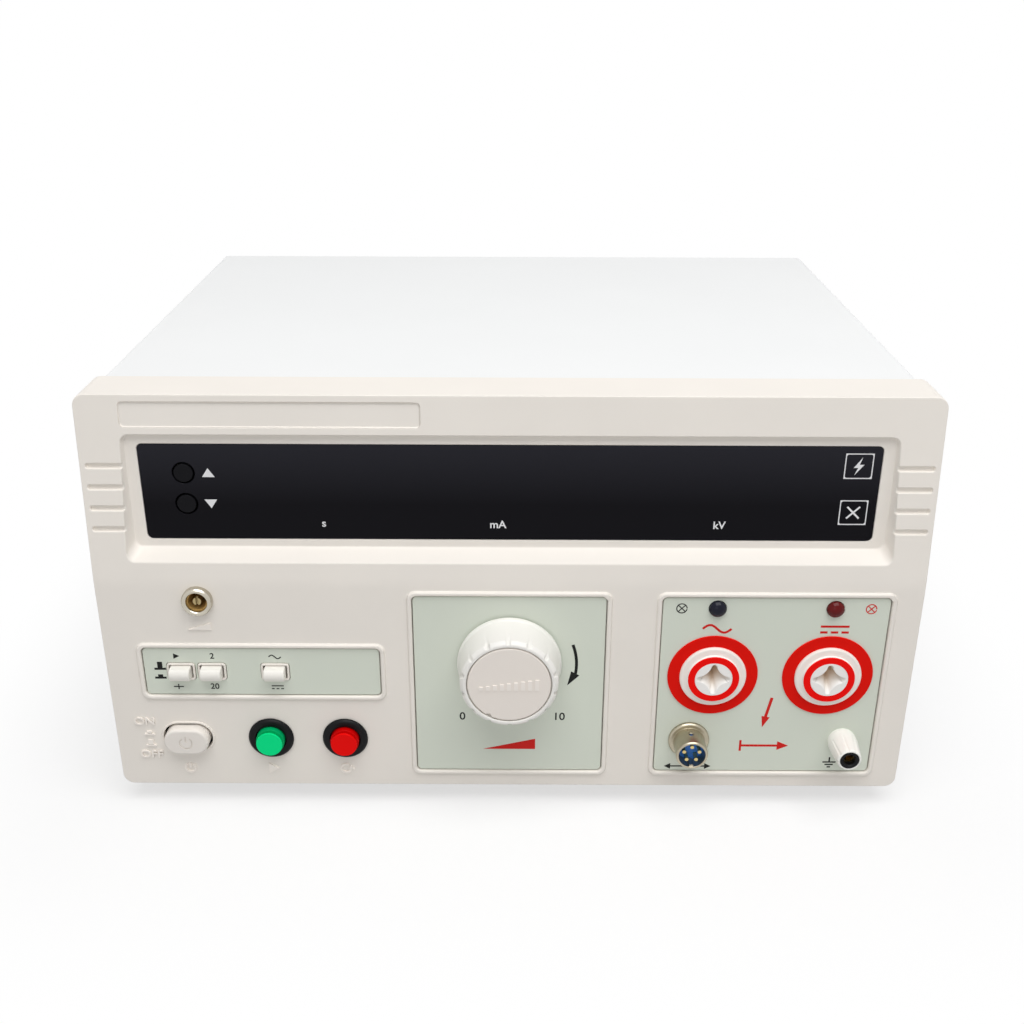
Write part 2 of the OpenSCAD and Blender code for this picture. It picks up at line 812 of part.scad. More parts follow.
module rear_panel() color("#c6c9ca") place() difference() {
    top = case_h - overhang - sheet_t - seat;
    union() {
        along_y(panel_y0, panel_y1) steel_section(inner_w, chassis_top, top, cover_r);
        box(flange_inset - inner_w / 2, inner_w / 2 - flange_inset, panel_y0 - flange_y, panel_y0,
            chassis_top, chassis_top + sheet_t);
        for (s = [-1, 1]) translate([s * (inner_w - sheet_t) / 2, 0, 0])
            box(-sheet_t / 2, sheet_t / 2, panel_y0 - flange_y, panel_y0, flange_z0, top - flange_top_gap);
    }
    side_screw_holes();
    for (x = under_screw_x) translate([x, under_screw_y, 0]) cylinder(d = screw_hole, h = 4 * chassis_top);
    along_y(panel_y0 - cut, panel_y1 + cut) translate([-inlet_x, inlet_z])
        square([inlet_body_w + 2 * seat, inlet_body_h + 2 * seat], center = true);
    rod(rear_stud_x, rear_stud_z, panel_y0 - cut, panel_y1 + cut, rear_stud_d + 2 * seat);
    for (i = [0:vent_count - 1], z = rear_vent_z)
        along_y(panel_y0 - cut, panel_y1 + cut)
            translate([rear_vent_x + i * rear_vent_pitch, z]) rotate(90) stadium(rear_vent_h, vent_w);
}

module display_window() color("#17171b") place() difference() {
    union() {
        along_y(recess_y, window_back) window_outline();
        along_y(window_back, window_back + window_lip_t) window_outline(window_lip);
    }
    for (i = [0, 1]) rod(-key_x, key_z - i * key_pitch, recess_y - cut, window_back + window_lip_t + cut,
                         key_hole_d);
}

module front_plate(p) {
    along_y(0, plate_t) translate([p[0], p[1]]) plate_outline(p[2], p[3], -seat);
}

module button_plate() color("#c3c6be") place() difference() {
    front_plate(plates()[0]);
    for (x = button_x) along_y(-cut, plate_t + cut) translate([x, strip_z]) frame_outline(seat);
}

module knob_plate() color("#c4c8bd") place() difference() {
    front_plate(plates()[1]);
    rod(0, knob_z, -cut, plate_t + cut, shaft_hole);
}

module output_plate() color("#c4c8bd") place() difference() {
    front_plate(plates()[2]);
    output_holes(-cut, plate_t + cut);
}

module feet() color("#2b2b2d") place()
    for (s = [-1, 1], y = foot_y) translate([s * foot_x, y, overhang - foot_h]) difference() {
        cylinder(d1 = foot_d - foot_taper, d2 = foot_d, h = foot_h);
        translate([0, 0, -cut]) cylinder(d = screw_head_d + 2, h = foot_sink + cut);
        cylinder(d = screw_hole, h = foot_h + cut);
    }

module case_screws() color("#a9abac") place() {
    side_screws();
    for (x = bezel_boss_x) translate([x, chassis_y + sheet_t, bezel_boss_z])
        rotate([90, 0, 0]) screw(screw_len);
    for (x = under_screw_x) translate([x, under_screw_y, overhang]) screw(screw_len);
    for (s = [-1, 1], y = foot_y) translate([s * foot_x, y, overhang - foot_h + foot_sink])
        screw(foot_h - foot_sink + foot_grip);
}

module display_board() color("#2f6b45") place()
    box(-display_board_w / 2, display_board_w / 2, display_y, display_y + board_t,
        display_board_z0, display_boss_z[1] + boss_d / 2);

module display_modules() color("#26262a") place() {
    mid = window_z + window_h / 2;
    for (x = digit_x)
        box(x - digit_w / 2, x + digit_w / 2, display_y - module_d, display_y,
            mid - digit_h / 2, mid + digit_h / 2);
    for (z = light_z)
        box(light_x - light_w / 2, light_x + light_w / 2, display_y - module_d, display_y,
            z - light_w / 2, z + light_w / 2);
}

module key_switches() color("#3a3a3e") place() for (i = [0, 1]) {
    z = key_z - i * key_pitch;
    box(-key_x - key_switch_w / 2, -key_x + key_switch_w / 2, key_back + key_travel + gap, display_y,
        z - key_switch_w / 2, z + key_switch_w / 2);
}

module key_button(z) {
    rod(-key_x, z, recess_y - key_proud, key_back, key_d);
    translate([0, window_back + window_lip_t + gap, 0]) rod(-key_x, z, 0, key_flange_t, key_flange_d);
}

module up_button() color("#141416") place() key_button(key_z);

module down_button() color("#141416") place() key_button(key_z - key_pitch);

module main_board() color("#2f6b45") place()
    box(main_x0, main_x1, main_y0, main_y1, main_z, main_z + board_t);

module board_standoffs() color("#c2c4c5") place()
    for (x = [main_x0 + standoff_in, main_x1 - standoff_in],
         y = [main_y0 + standoff_in, main_y1 - standoff_in])
        translate([x, y, chassis_top]) cylinder(d = standoff_d, h = standoff_h, $fn = 6);

// Relays in a row, two smoothing capacitors and a terminal block
module board_parts() color("#34363b") place() translate([0, 0, main_z + board_t]) {
    translate([main_x0, main_y0, 0]) {
        for (i = [0:2]) translate(relay_in + [i * relay_pitch, 0, 0]) cube(relay_size);
        for (i = [0, 1])
            translate(smooth_in + [i * smooth_pitch, 0, 0]) cylinder(d = smooth_d, h = smooth_h);
    }
    translate([main_x1 - block_in[0], main_y0 + block_in[1], 0]) cube(block_size);
}

module switch_board() color("#2f6b45") place()
    box(switch_boss_x[0] - boss_d / 2, button_x[2] + switch_w / 2 + 2,
        switch_board_y, switch_board_y + board_t, strip_z - switch_h, strip_z + switch_h);

module mode_switch_bodies() color("#ece9e2") place() for (x = button_x) difference() {
    along_y(switch_y0, switch_board_y) translate([x, strip_z]) square([switch_w, switch_h], center = true);
    along_y(switch_y0 - cut, switch_board_y - switch_wall) translate([x, strip_z])
        square([cap_stem_w + 2 * gap, cap_stem_h + 2 * gap], center = true);
}

module cap_button(x) {
    along_y(-cap_out, cap_back) translate([x, strip_z]) rounded(cap_w, cap_h, cap_r);
    along_y(cap_back, cap_back + cap_stem_len) translate([x, strip_z])
        square([cap_stem_w, cap_stem_h], center = true);
}

module mode_button() color("#e2ddd3") place() cap_button(button_x[0]);

module range_button() color("#e2ddd3") place() cap_button(button_x[1]);

module polarity_button() color("#e2ddd3") place() cap_button(button_x[2]);

module power_switch_body() color("#2d2d30") place() difference() {
    translate([-power_x, 0, row_z]) {
        along_y(power_body_y, power_body_y + power_body_len)
            square([power_body_w, power_body_h], center = true);
        along_y(power_body_y, power_body_y + power_ear)
            square([2 * power_boss_dx + boss_d, boss_d + 4], center = true);
    }
    along_y(power_body_y - cut, power_body_y + power_stem_len) translate([-power_x, row_z])
        square([power_stem_w + 2 * gap, power_stem_h + 2 * gap], center = true);
}

module power_button() color("#d0cbc4") place() translate([-power_x, 0, row_z]) {
    along_y(-power_out, power_back) stadium(power_w, power_h);
    along_y(power_back, power_back + power_stem_len - power_travel)
        square([power_stem_w, power_stem_h], center = true);
}

module push_button_bodies() color("#1a1d1b") place() for (x = push_x) difference() {
    union() {
        rod(x, row_z, -push_flange_t, 0, push_flange_d);
        rod(x, row_z, 0, push_body_len, push_barrel_d);
    }
    rod(x, row_z, -push_flange_t - cut, push_back + push_travel + gap, push_bore_d);
}

// A two-step cap: the collar stops just in front of the flange
module push_cap(x) {
    rod(x, row_z, -push_out + push_lip, push_back, push_cap_d);
    rod(x, row_z, -push_out, -push_out + push_lip, push_cap_d - 2 * push_step);
}

module start_button() color("#07c377") place() push_cap(-start_x);

module reset_button() color("#d4160f") place() push_cap(-reset_x);

module panel_nuts() color("#b8b6ad") place() for (n = nuts) difference() {
    translate([n[0], nut_y, n[1]]) rotate([-90, 0, 0]) cylinder(d = n[3] / cos(30), h = nut_t, $fn = 6);
    rod(n[0], n[1], nut_y - cut, nut_y + nut_t + cut, n[2] + 2 * fit);
}

module trimmer_bush() color("#b9b4a4") place() difference() {
    union() {
        rod(-trim_x, trim_z, -trim_out, 0, trim_flange_d);
        rod(-trim_x, trim_z, 0, trim_bush_len, trim_bush_d);
    }
    rod(-trim_x, trim_z, -trim_out - cut, trim_bush_len + cut, trim_bore_d);
}

module trimmer_pot() color("#3c5a86") place() difference() {
    rod(-trim_x, trim_z, trim_bush_len, trim_bush_len + trim_pot_len, 2 * trim_pot_r());
    rod(-trim_x, trim_z, trim_bush_len - cut, trim_bush_len + trim_pot_len - trim_pot_wall,
        trim_shaft_d + 2 * fit);
}

module trimmer_shaft() color("#cfc7ad") place() difference() {
    rod(-trim_x, trim_z, trim_shaft_y, trim_bush_len + trim_pot_len - trim_pot_wall - gap, trim_shaft_d);
    translate([-trim_x, trim_shaft_y, trim_z])
        cube([trim_slot_w, 2 * trim_slot_d, 2 * trim_shaft_d], center = true);
}

module knob() color("#efece6") place() outward(0, knob_z) difference() {
    rotate_extrude() polygon([[0, knob_gap], [knob_d / 2, knob_gap], [knob_d / 2, knob_gap + knob_skirt],
        [knob_front_d / 2, knob_out - knob_edge], [knob_front_d / 2 - knob_edge, knob_out],
        [knob_cap_d / 2 + seat, knob_out], [knob_cap_d / 2 + seat, knob_floor], [0, knob_floor]]);
    cylinder(d = shaft_d + 2 * fit, h = knob_floor - knob_wall);
    for (i = [0:knob_notches - 1]) rotate(i * 360 / knob_notches)
        translate([knob_front_d / 2 + notch_d / 2 - knob_lip, 0, knob_out - notch_len])
            cylinder(d = notch_d, h = notch_len + cut);
}

module knob_cap() color("#dbd5cc") place() outward(0, knob_z) difference() {
    translate([0, 0, knob_floor]) cylinder(d = knob_cap_d, h = knob_out - knob_floor - cap_sunk);
    rotate(index_angle) translate([knob_cap_d / 2, 0, knob_out - index_deep])
        cylinder(d = index_d, h = index_deep + cut);
}

module variac_shaft() color("#bfc1c2") place()
    rod(0, knob_z, -knob_floor + knob_wall + gap, shaft_end, shaft_d);

module brush_arm() color("#c9a25a") place() outward(0, knob_z, arm_y0 + arm_t) rotate(index_angle) {
    difference() {
        union() {
            cylinder(d = arm_hub_d, h = arm_t);
            translate([arm_x0, -arm_w / 2, 0]) cube([arm_x1 - arm_x0, arm_w, arm_t - arm_step]);
        }
        translate([0, 0, -cut]) cylinder(d = shaft_d + 2 * fit, h = arm_t + 2 * cut);
    }
}

module carbon_brush() color("#3b3b3b") place() outward(0, knob_z, ring_y0 - gap)
    rotate(index_angle) translate([brush_r - brush_w / 2, -brush_w / 2, 0])
        cube([brush_w, brush_w, brush_len]);

// The ring is wound with enamelled wire; its edges are round
module variac_winding() color("#a9642f") place() outward(0, knob_z, ring_y1)
    rotate_extrude() translate([(ring_d + ring_bore) / 4, ring_t / 2])
        rounded((ring_d - ring_bore) / 2, ring_t, ring_edge);

module variac_frame() color("#a3a8aa") place() difference() {
    union() {
        box(-bracket_w / 2, bracket_w / 2, ring_y1, ring_y1 + bracket_t, chassis_top, bracket_top);
        box(-bracket_w / 2, bracket_w / 2, ring_y1, ring_y1 + bracket_foot,
            chassis_top, chassis_top + bracket_t);
        for (s = [-1, 1]) translate([s * (bracket_w - bracket_t) / 2, 0, 0])
            along_x(-bracket_t / 2, bracket_t / 2)
                polygon([[ring_y1, chassis_top], [ring_y1 + bracket_foot, chassis_top], [ring_y1, knob_z]]);
        rod(0, knob_z, ring_y0, ring_y1 + bracket_t, hub_d);
        rod(0, knob_z - stop_r, stop_y0, ring_y1, stop_d);
    }
    rod(0, knob_z, ring_y0 - cut, ring_y1 + bracket_t + cut, shaft_d + 2 * fit);
}

// Laminated E and I stack with two windows
module hv_transformer_core() color("#6e6a66") place()
    along_y(core_y - core_stack / 2, core_y + core_stack / 2) translate([core_x, core_z]) difference() {
        square([core_w, core_h], center = true);
        for (s = [-1, 1]) translate([s * (core_limb + core_window) / 2, 0])
            square([core_window, core_w / 2], center = true);
    }

module hv_transformer_coil() color("#b98a3c") place() translate([core_x, core_y, core_z]) difference() {
    cube([core_limb + 2 * core_window - 2 * gap, core_stack + 2 * coil_over, coil_h], center = true);
    cube([core_limb + 2 * gap, core_stack + 2 * gap, core_w], center = true);
}

module hv_transformer_clamps() color("#9a9ea0") place() for (s = [-1, 1])
    translate([core_x, core_y + s * core_stack / 2, chassis_top]) {
        box(-core_w / 2, core_w / 2, min(0, s * clamp_t), max(0, s * clamp_t), 0, clamp_h);
        box(-core_w / 2, core_w / 2, min(s * clamp_t, s * clamp_foot), max(s * clamp_t, s * clamp_foot),
            0, clamp_t);
    }

module hv_capacitor() color("#d8d9d6") place() translate([can_x, can_y, chassis_top]) {
    cylinder(d = can_d, h = can_h);
    for (s = [-1, 1]) translate([s * can_d / 5, 0, can_h]) cylinder(d = can_terminal_d, h = can_terminal_h);
}

// Small supply transformer: core on the chassis with its coil around the middle limb
module aux_transformer() color("#7a736a") place() translate([aux_x, aux_y, chassis_top + aux_h / 2]) {
    along_y(-aux_stack / 2, aux_stack / 2) difference() {
        square([aux_w, aux_h], center = true);
        for (s = [-1, 1]) translate([s * aux_w / 4, 0]) square([aux_w / 6, aux_w / 2], center = true);
    }
    difference() {
        cube([aux_w * 2 / 3 - 2 * gap, aux_coil_d, aux_w / 2 - 2 * gap], center = true);
        cube([aux_w / 3 + 2 * gap, aux_stack + 2 * gap, aux_w], center = true);
    }
}

module hv_washers() color("#c41b11") place() for (x = socket_x)
    pipe(x, socket_z, -washer_t, 0, washer_d, socket_barrel_d + 2 * seat);

// Four-pointed mouth of a high-voltage socket
module star() {
    difference() {
        circle(star_tip);
        for (sx = [-1, 1], sz = [-1, 1]) translate([sx * star_c, sz * star_c]) circle(star_arc);
    }
}

module hv_sockets() color("#f4f3f0") place() for (x = socket_x) difference() {
    union() {
        rod(x, socket_z, -socket_flange_out, -washer_t, socket_flange_d);
        rod(x, socket_z, -socket_out + socket_ring_t, -washer_t, socket_face_d);
        rod(x, socket_z, -socket_out, -washer_t, socket_ring_bore - 2 * fit);
        rod(x, socket_z, -washer_t, socket_len, socket_barrel_d);
    }
    along_y(-socket_out - cut, -socket_out + star_depth) translate([x, socket_z]) star();
    translate([x, star_depth - socket_out - star_blend, socket_z]) rotate([-90, 0, 0])
        cylinder(r1 = star_waist - 2 * seat, r2 = plug_d / 2 + 2 * seat,
                 h = funnel_y + socket_out - star_depth + star_blend);
    rod(x, socket_z, funnel_y, socket_len + cut, contact_d + 2 * fit);
}

module hv_rings() color("#e0170f") place() for (x = socket_x)
    pipe(x, socket_z, -socket_out, -socket_out + socket_ring_t, socket_face_d, socket_ring_bore);

module control_shell() color("#a39c8a") place() difference() {
    union() {
        rod(control_x, row_z, -control_out, control_len, control_d);
        rod(control_x, row_z, -control_flange_t, 0, control_flange_d);
    }
    rod(control_x, row_z, -control_out - cut, control_len + cut, control_d - 2 * control_wall);
}

function pin_place(i) = [control_x + pin_ring_d / 2 * cos(90 + i * 360 / pin_count),
                         row_z + pin_ring_d / 2 * sin(90 + i * 360 / pin_count)];

module control_insert() color("#1a57a8") place() difference() {
    rod(control_x, row_z, -control_face, control_len, control_d - 2 * control_wall - 2 * fit);
    for (i = [0:pin_count - 1])
        rod(pin_place(i)[0], pin_place(i)[1], -control_out, control_len + cut, pin_d + 2 * fit);
}

// Pins of the control socket, sleeves of the high-voltage sockets, blades of the inlet
module contact_pins() color("#c9a94f") place() {
    for (i = [0:pin_count - 1])
        rod(pin_place(i)[0], pin_place(i)[1], -pin_out, control_len + pin_tail, pin_d);
    for (x = socket_x) difference() {
        rod(x, socket_z, funnel_y, contact_y1, contact_d);
        rod(x, socket_z, funnel_y - cut, contact_y1 - contact_wall, plug_d);
    }
    for (b = [[-blade_x, blade_z], [0, earth_blade_z], [blade_x, blade_z]])
        translate([b[0] - inlet_x, panel_y1 + inlet_flange_t - inlet_cavity_d,
                   inlet_z + inlet_cavity_z + b[1]])
            box(-blade_w / 2, blade_w / 2, 0, blade_len, -blade_h / 2, blade_h / 2);
}

// Leads from the high-voltage coil to the two sockets
module hv_leads() color("#c9281c") place()
    for (x = socket_x) rod(x, socket_z, contact_y1, coil_front, lead_d);

module earth_post() color("#c7b27a") place() difference() {
    rod(earth_x, row_z, -earth_post_out, earth_post_len, earth_stud_d);
    rod(earth_x, row_z, -earth_post_out - cut, -earth_post_out + plug_depth, plug_d);
}

module earth_collar() color("#202022") place()
    pipe(earth_x, row_z, -earth_collar_t, 0, earth_collar_d, earth_stud_d + 2 * seat);

module earth_washer() color("#bfc1c2") place()
    pipe(earth_x, row_z, -earth_base - earth_washer_t, -earth_base, earth_washer_d, earth_stud_d + 2 * gap);

module earth_cap() color("#e8e8e0") place() outward(earth_x, row_z) difference() {
    rotate_extrude() polygon([[earth_stud_d / 2 + fit, earth_base], [earth_cap_d / 2, earth_base],
        [earth_cap_d / 2, earth_base + earth_skirt],
        [earth_front_d / 2, earth_out - earth_edge], [earth_front_d / 2 - earth_edge, earth_out],
        [earth_core_d / 2 + fit, earth_out], [earth_core_d / 2 + fit, earth_out - earth_core_t],
        [earth_stud_d / 2 + fit, earth_out - earth_core_t]]);
    cylinder(d = earth_washer_d + 2 * gap, h = earth_base + earth_washer_t + gap);
}

module earth_cap_core() color("#17171a") place()
    pipe(earth_x, row_z, -earth_out, -earth_out + earth_core_t, earth_core_d, plug_d + 2 * gap);

module indicator_lamps() color("#3b2630") place() for (x = socket_x) {
    rod(x, lamp_z, -lamp_proud, lamp_len, lamp_d);
    intersection() {
        translate([x, lamp_ball_y, lamp_z]) sphere(d = lamp_ball_d);
        rod(x, lamp_z, -lamp_proud - lamp_d, seat - lamp_proud, lamp_d);
    }
}

module power_inlet() color("#232326") place() translate([-inlet_x, panel_y1, inlet_z]) difference() {
    union() {
        along_y(0, inlet_flange_t) rounded(inlet_flange_w, inlet_flange_h, inlet_flange_r);
        along_y(inlet_flange_t - inlet_body_len, 0) square([inlet_body_w, inlet_body_h], center = true);
    }
    along_y(inlet_flange_t - inlet_cavity_d, inlet_flange_t + cut) translate([0, inlet_cavity_z])
        rounded(inlet_cavity_w, inlet_cavity_h, inlet_cavity_r);
    along_y(inlet_flange_t - drawer_len - gap, inlet_flange_t + cut) translate([0, drawer_z])
        square([drawer_w + 2 * gap, drawer_h + 2 * gap], center = true);
}

module fuse_drawer() color("#2e2e31") place()
    translate([-inlet_x, panel_y1 + inlet_flange_t, inlet_z + drawer_z]) {
    along_y(-drawer_len, 0) square([drawer_w, drawer_h], center = true);
    along_y(0, drawer_lip_out) rounded(drawer_lip_w, drawer_lip, drawer_lip_r);
}

module rear_earth_stud() color("#c7b27a") place() {
    rod(rear_stud_x, rear_stud_z, panel_y0 - rear_stud_in, panel_y1 + rear_stud_out, rear_stud_d);
    translate([rear_stud_x, panel_y1, rear_stud_z]) rotate([-90, 0, 0])
        cylinder(d = rear_stud_hex / cos(30), h = rear_stud_hex_t, $fn = 6);
}

front_bezel();
top_cover();
bottom_chassis();
rear_panel();
display_window();
button_plate();
knob_plate();
output_plate();
feet();
case_screws();
display_board();
display_modules();
key_switches();
main_board();
board_parts();
board_standoffs();
switch_board();
mode_switch_bodies();
power_switch_body();
push_button_bodies();
panel_nuts();
trimmer_bush();
trimmer_pot();
variac_winding();
variac_frame();
hv_transformer_core();
hv_transformer_coil();
hv_transformer_clamps();
hv_capacitor();
aux_transformer();
hv_washers();
hv_sockets();
hv_rings();
control_shell();
control_insert();
contact_pins();
hv_leads();
earth_post();
earth_collar();
indicator_lamps();
power_inlet();
rear_earth_stud();
knob();
knob_cap();
variac_shaft();
brush_arm();
carbon_brush();
trimmer_shaft();
up_button();
down_button();
mode_button();
range_button();
polarity_button();
power_button();
start_button();
reset_button();
earth_washer();
earth_cap();
earth_cap_core();
fuse_drawer();
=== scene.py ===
import math

import bpy
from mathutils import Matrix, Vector


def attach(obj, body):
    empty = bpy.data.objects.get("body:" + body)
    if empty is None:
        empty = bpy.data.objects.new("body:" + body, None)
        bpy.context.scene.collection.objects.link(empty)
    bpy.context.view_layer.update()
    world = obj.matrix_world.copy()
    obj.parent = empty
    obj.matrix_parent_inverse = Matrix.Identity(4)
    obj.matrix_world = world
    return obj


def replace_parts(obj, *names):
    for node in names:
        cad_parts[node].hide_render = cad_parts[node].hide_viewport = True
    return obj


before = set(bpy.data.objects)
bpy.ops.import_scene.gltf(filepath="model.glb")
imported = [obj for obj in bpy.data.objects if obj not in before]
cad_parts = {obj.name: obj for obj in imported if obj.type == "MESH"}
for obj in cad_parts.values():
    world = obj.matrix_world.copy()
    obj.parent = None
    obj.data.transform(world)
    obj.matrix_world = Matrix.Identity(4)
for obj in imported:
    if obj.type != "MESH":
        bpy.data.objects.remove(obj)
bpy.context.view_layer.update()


# The photographer's camera stands in front of the tester and looks down on it by 24 degrees.
# Places on the tester are given in millimetres: x from its middle, y behind the lower front face,
# z above the bezel's underside.
mm = 0.001
front_y = 120.85
bezel_lift = 9.6


def spot(x, y, z):
    return Vector((x, y - front_y, z + bezel_lift)) * mm


bpy.ops.object.camera_add(location=spot(2.04, -411.74, 310.14),
                          rotation=[math.radians(angle) for angle in (65.7262, -0.1527, 0.2307)])
camera = bpy.context.object
camera.data.sensor_width = 36
camera.data.lens = 42.5
camera.data.clip_start = 0.01
bpy.context.scene.camera = camera
bpy.context.scene.view_settings.view_transform = "Standard"


# Soft studio light: a wide soft box hangs over the tester in a pale room, with a weak one in front.
# The room is plain white for the camera and for what shows in gloss and glass.
bpy.ops.object.light_add(type="AREA", location=(0.15, -0.6, 1.4),
                         rotation=(math.radians(25), 0, math.radians(11)))
soft_box = bpy.context.object.data
soft_box.shape = "RECTANGLE"
soft_box.size = 1.4
soft_box.size_y = 0.9
soft_box.energy = 15.5
bpy.ops.object.light_add(type="AREA", location=(-0.5, -1.8, 0.75),
                         rotation=(math.radians(71), 0, math.radians(-15)))
fill_light = bpy.context.object.data
fill_light.size = 1.0
fill_light.energy = 1.7

room = bpy.data.worlds.new("pale_room")
bpy.context.scene.world = room
room.use_nodes = True
room_nodes = room.node_tree.nodes
room_links = room.node_tree.links
room_light = room_nodes["Background"]
room_white = room_nodes.new("ShaderNodeBackground")
for background, strength in ((room_light, 0.36), (room_white, 1.0)):
    background.inputs["Color"].default_value = (1, 1, 1, 1)
    background.inputs["Strength"].default_value = strength


def direct_sight(tree):
    """1 for what the camera sees, also in gloss and through glass, and 0 for all other light."""
    ray = tree.nodes.new("ShaderNodeLightPath")
    seen = ray.outputs["Is Camera Ray"]
    for kind in ("Is Glossy Ray", "Is Transmission Ray"):
        either = tree.nodes.new("ShaderNodeMath")
        either.operation = "MAXIMUM"
        tree.links.new(seen, either.inputs[0])
        tree.links.new(ray.outputs[kind], either.inputs[1])
        seen = either.outputs["Value"]
    return seen


room_mix = room_nodes.new("ShaderNodeMixShader")
room_links.new(direct_sight(room.node_tree), room_mix.inputs["Fac"])
room_links.new(room_light.outputs["Background"], room_mix.inputs[1])
room_links.new(room_white.outputs["Background"], room_mix.inputs[2])
room_links.new(room_mix.outputs["Shader"], room_nodes["World Output"].inputs["Surface"])


# The floor is a sheet of white paper that runs out to plain white away from the tester.
# Near the tester it is lit like paper, so the tester's shadow lies on it.
bpy.ops.mesh.primitive_plane_add(size=14, location=(0, 0, -0.0002))
floor = bpy.context.object
floor.name = "paper_floor"
paper = bpy.data.materials.new("floor_paper")
paper.use_nodes = True
paper_nodes = paper.node_tree.nodes
paper_links = paper.node_tree.links
paper_shade = paper_nodes["Principled BSDF"]
paper_shade.inputs["Roughness"].default_value = 0.9
paper_shade.inputs["Specular IOR Level"].default_value = 0.1
paper_white = paper_nodes.new("ShaderNodeEmission")
paper_away = paper_nodes.new("ShaderNodeTexCoord").outputs["Object"]
for step, amount in (("ABSOLUTE", (0, 0, 0)), ("SUBTRACT", (0.16, 0.13, 0)),
                     ("MAXIMUM", (0, 0, 0)), ("LENGTH", (0, 0, 0))):
    paper_step = paper_nodes.new("ShaderNodeVectorMath")
    paper_step.operation = step
    paper_step.inputs[1].default_value = amount
    paper_links.new(paper_away, paper_step.inputs[0])
    paper_away = paper_step.outputs["Value" if step == "LENGTH" else "Vector"]
paper_fade = paper_nodes.new("ShaderNodeMapRange")
paper_fade.interpolation_type = "SMOOTHSTEP"
paper_fade.inputs["From Max"].default_value = 0.11
paper_fade.inputs["To Min"].default_value = 0.6
paper_tone = paper_nodes.new("ShaderNodeMapRange")
paper_tone.inputs["To Min"].default_value = 0.6
paper_tone.inputs["To Max"].default_value = 0.97
paper_seen = paper_nodes.new("ShaderNodeMath")
paper_seen.operation = "MULTIPLY"
paper_mix = paper_nodes.new("ShaderNodeMixShader")
paper_sight = direct_sight(paper.node_tree)
paper_links.new(paper_sight, paper_tone.inputs["Value"])
paper_links.new(paper_tone.outputs["Result"], paper_shade.inputs["Base Color"])
paper_links.new(paper_away, paper_fade.inputs["Value"])
paper_links.new(paper_fade.outputs["Result"], paper_seen.inputs[0])
paper_links.new(paper_sight, paper_seen.inputs[1])
paper_links.new(paper_seen.outputs["Value"], paper_mix.inputs["Fac"])
paper_links.new(paper_shade.outputs["BSDF"], paper_mix.inputs[1])
paper_links.new(paper_white.outputs["Emission"], paper_mix.inputs[2])
paper_links.new(paper_mix.outputs["Shader"], paper_nodes["Material Output"].inputs["Surface"])
floor.data.materials.append(paper)


# The front bezel is one moulding of warm grey plastic: a box open at the back, its upper half
# leaning back above a soft fold, with a deep display recess, finger grooves and raised beads.
def nothing_selected():
    if bpy.context.object and bpy.context.object.mode != "OBJECT":
        bpy.ops.object.mode_set(mode="OBJECT")
    bpy.ops.object.select_all(action="DESELECT")


def only(piece):
    nothing_selected()
    bpy.context.view_layer.objects.active = piece
    piece.select_set(True)
    return piece


def block(name, x, y, z):
    nothing_selected()
    low = spot(x[0], y[0], z[0])
    high = spot(x[1], y[1], z[1])
    bpy.ops.mesh.primitive_cube_add(size=1, location=(low + high) / 2, scale=high - low)
    bpy.ops.object.transform_apply()
    bpy.context.object.name = name
    return bpy.context.object


def in_mm(point):
    return point * 1000 + Vector((0, front_y, -bezel_lift))


def pick(piece, kind, wanted):
    only(piece)
    bpy.ops.object.mode_set(mode="EDIT")
    bpy.ops.mesh.select_mode(type=kind)
    bpy.ops.mesh.select_all(action="DESELECT")
    bpy.ops.object.mode_set(mode="OBJECT")
    points = [in_mm(vertex.co) for vertex in piece.data.vertices]
    parts = {"VERT": piece.data.vertices, "EDGE": piece.data.edges, "FACE": piece.data.polygons}
    for part in parts[kind]:
        corners = [part.index] if kind == "VERT" else part.vertices
        part.select = wanted([points[i] for i in corners])
    bpy.ops.object.mode_set(mode="EDIT")


def shift(piece, wanted, x=0, y=0, z=0):
    pick(piece, "VERT", wanted)
    bpy.ops.transform.translate(value=(x * mm, y * mm, z * mm))
    bpy.ops.object.mode_set(mode="OBJECT")


def along(axis, reach=0.5):
    others = [other for other in range(3) if other != axis]
    return lambda c: abs(c[0][axis] - c[1][axis]) > reach and all(
        abs(c[0][other] - c[1][other]) < 0.6 * abs(c[0][axis] - c[1][axis]) for other in others)


def round_edges(piece, wanted, radius, steps=6):
    pick(piece, "EDGE", wanted)
    bpy.ops.mesh.bevel(offset=radius * mm, segments=steps, affect="EDGES", clamp_overlap=False)
    bpy.ops.object.mode_set(mode="OBJECT")


def join(pieces):
    only(pieces[0])
    for piece in pieces[1:]:
        piece.select_set(True)
    bpy.ops.object.join()
    return pieces[0]


def carve(piece, tool, how="DIFFERENCE"):
    only(piece)
    cut = piece.modifiers.new("cut", "BOOLEAN")
    cut.operation = how
    cut.solver = "MANIFOLD"
    cut.object = tool
    bpy.ops.object.modifier_apply(modifier=cut.name)
    bpy.data.objects.remove(tool)


weld_gap = 0.000002


def clean_flats(piece):
    only(piece)
    bpy.ops.object.mode_set(mode="EDIT")
    bpy.ops.mesh.select_all(action="SELECT")
    bpy.ops.mesh.remove_doubles(threshold=weld_gap)
    bpy.ops.mesh.dissolve_limited(angle_limit=math.radians(0.2))
    bpy.ops.object.mode_set(mode="OBJECT")


def soften(piece, width, steps=3, angle=32):
    clean_flats(piece)
    edges = piece.modifiers.new("edges", "BEVEL")
    edges.width = width * mm
    edges.segments = steps
    edges.limit_method = "ANGLE"
    edges.angle_limit = math.radians(angle)
    edges.use_clamp_overlap = False
    bpy.ops.object.modifier_apply(modifier=edges.name)
    smooth(piece)


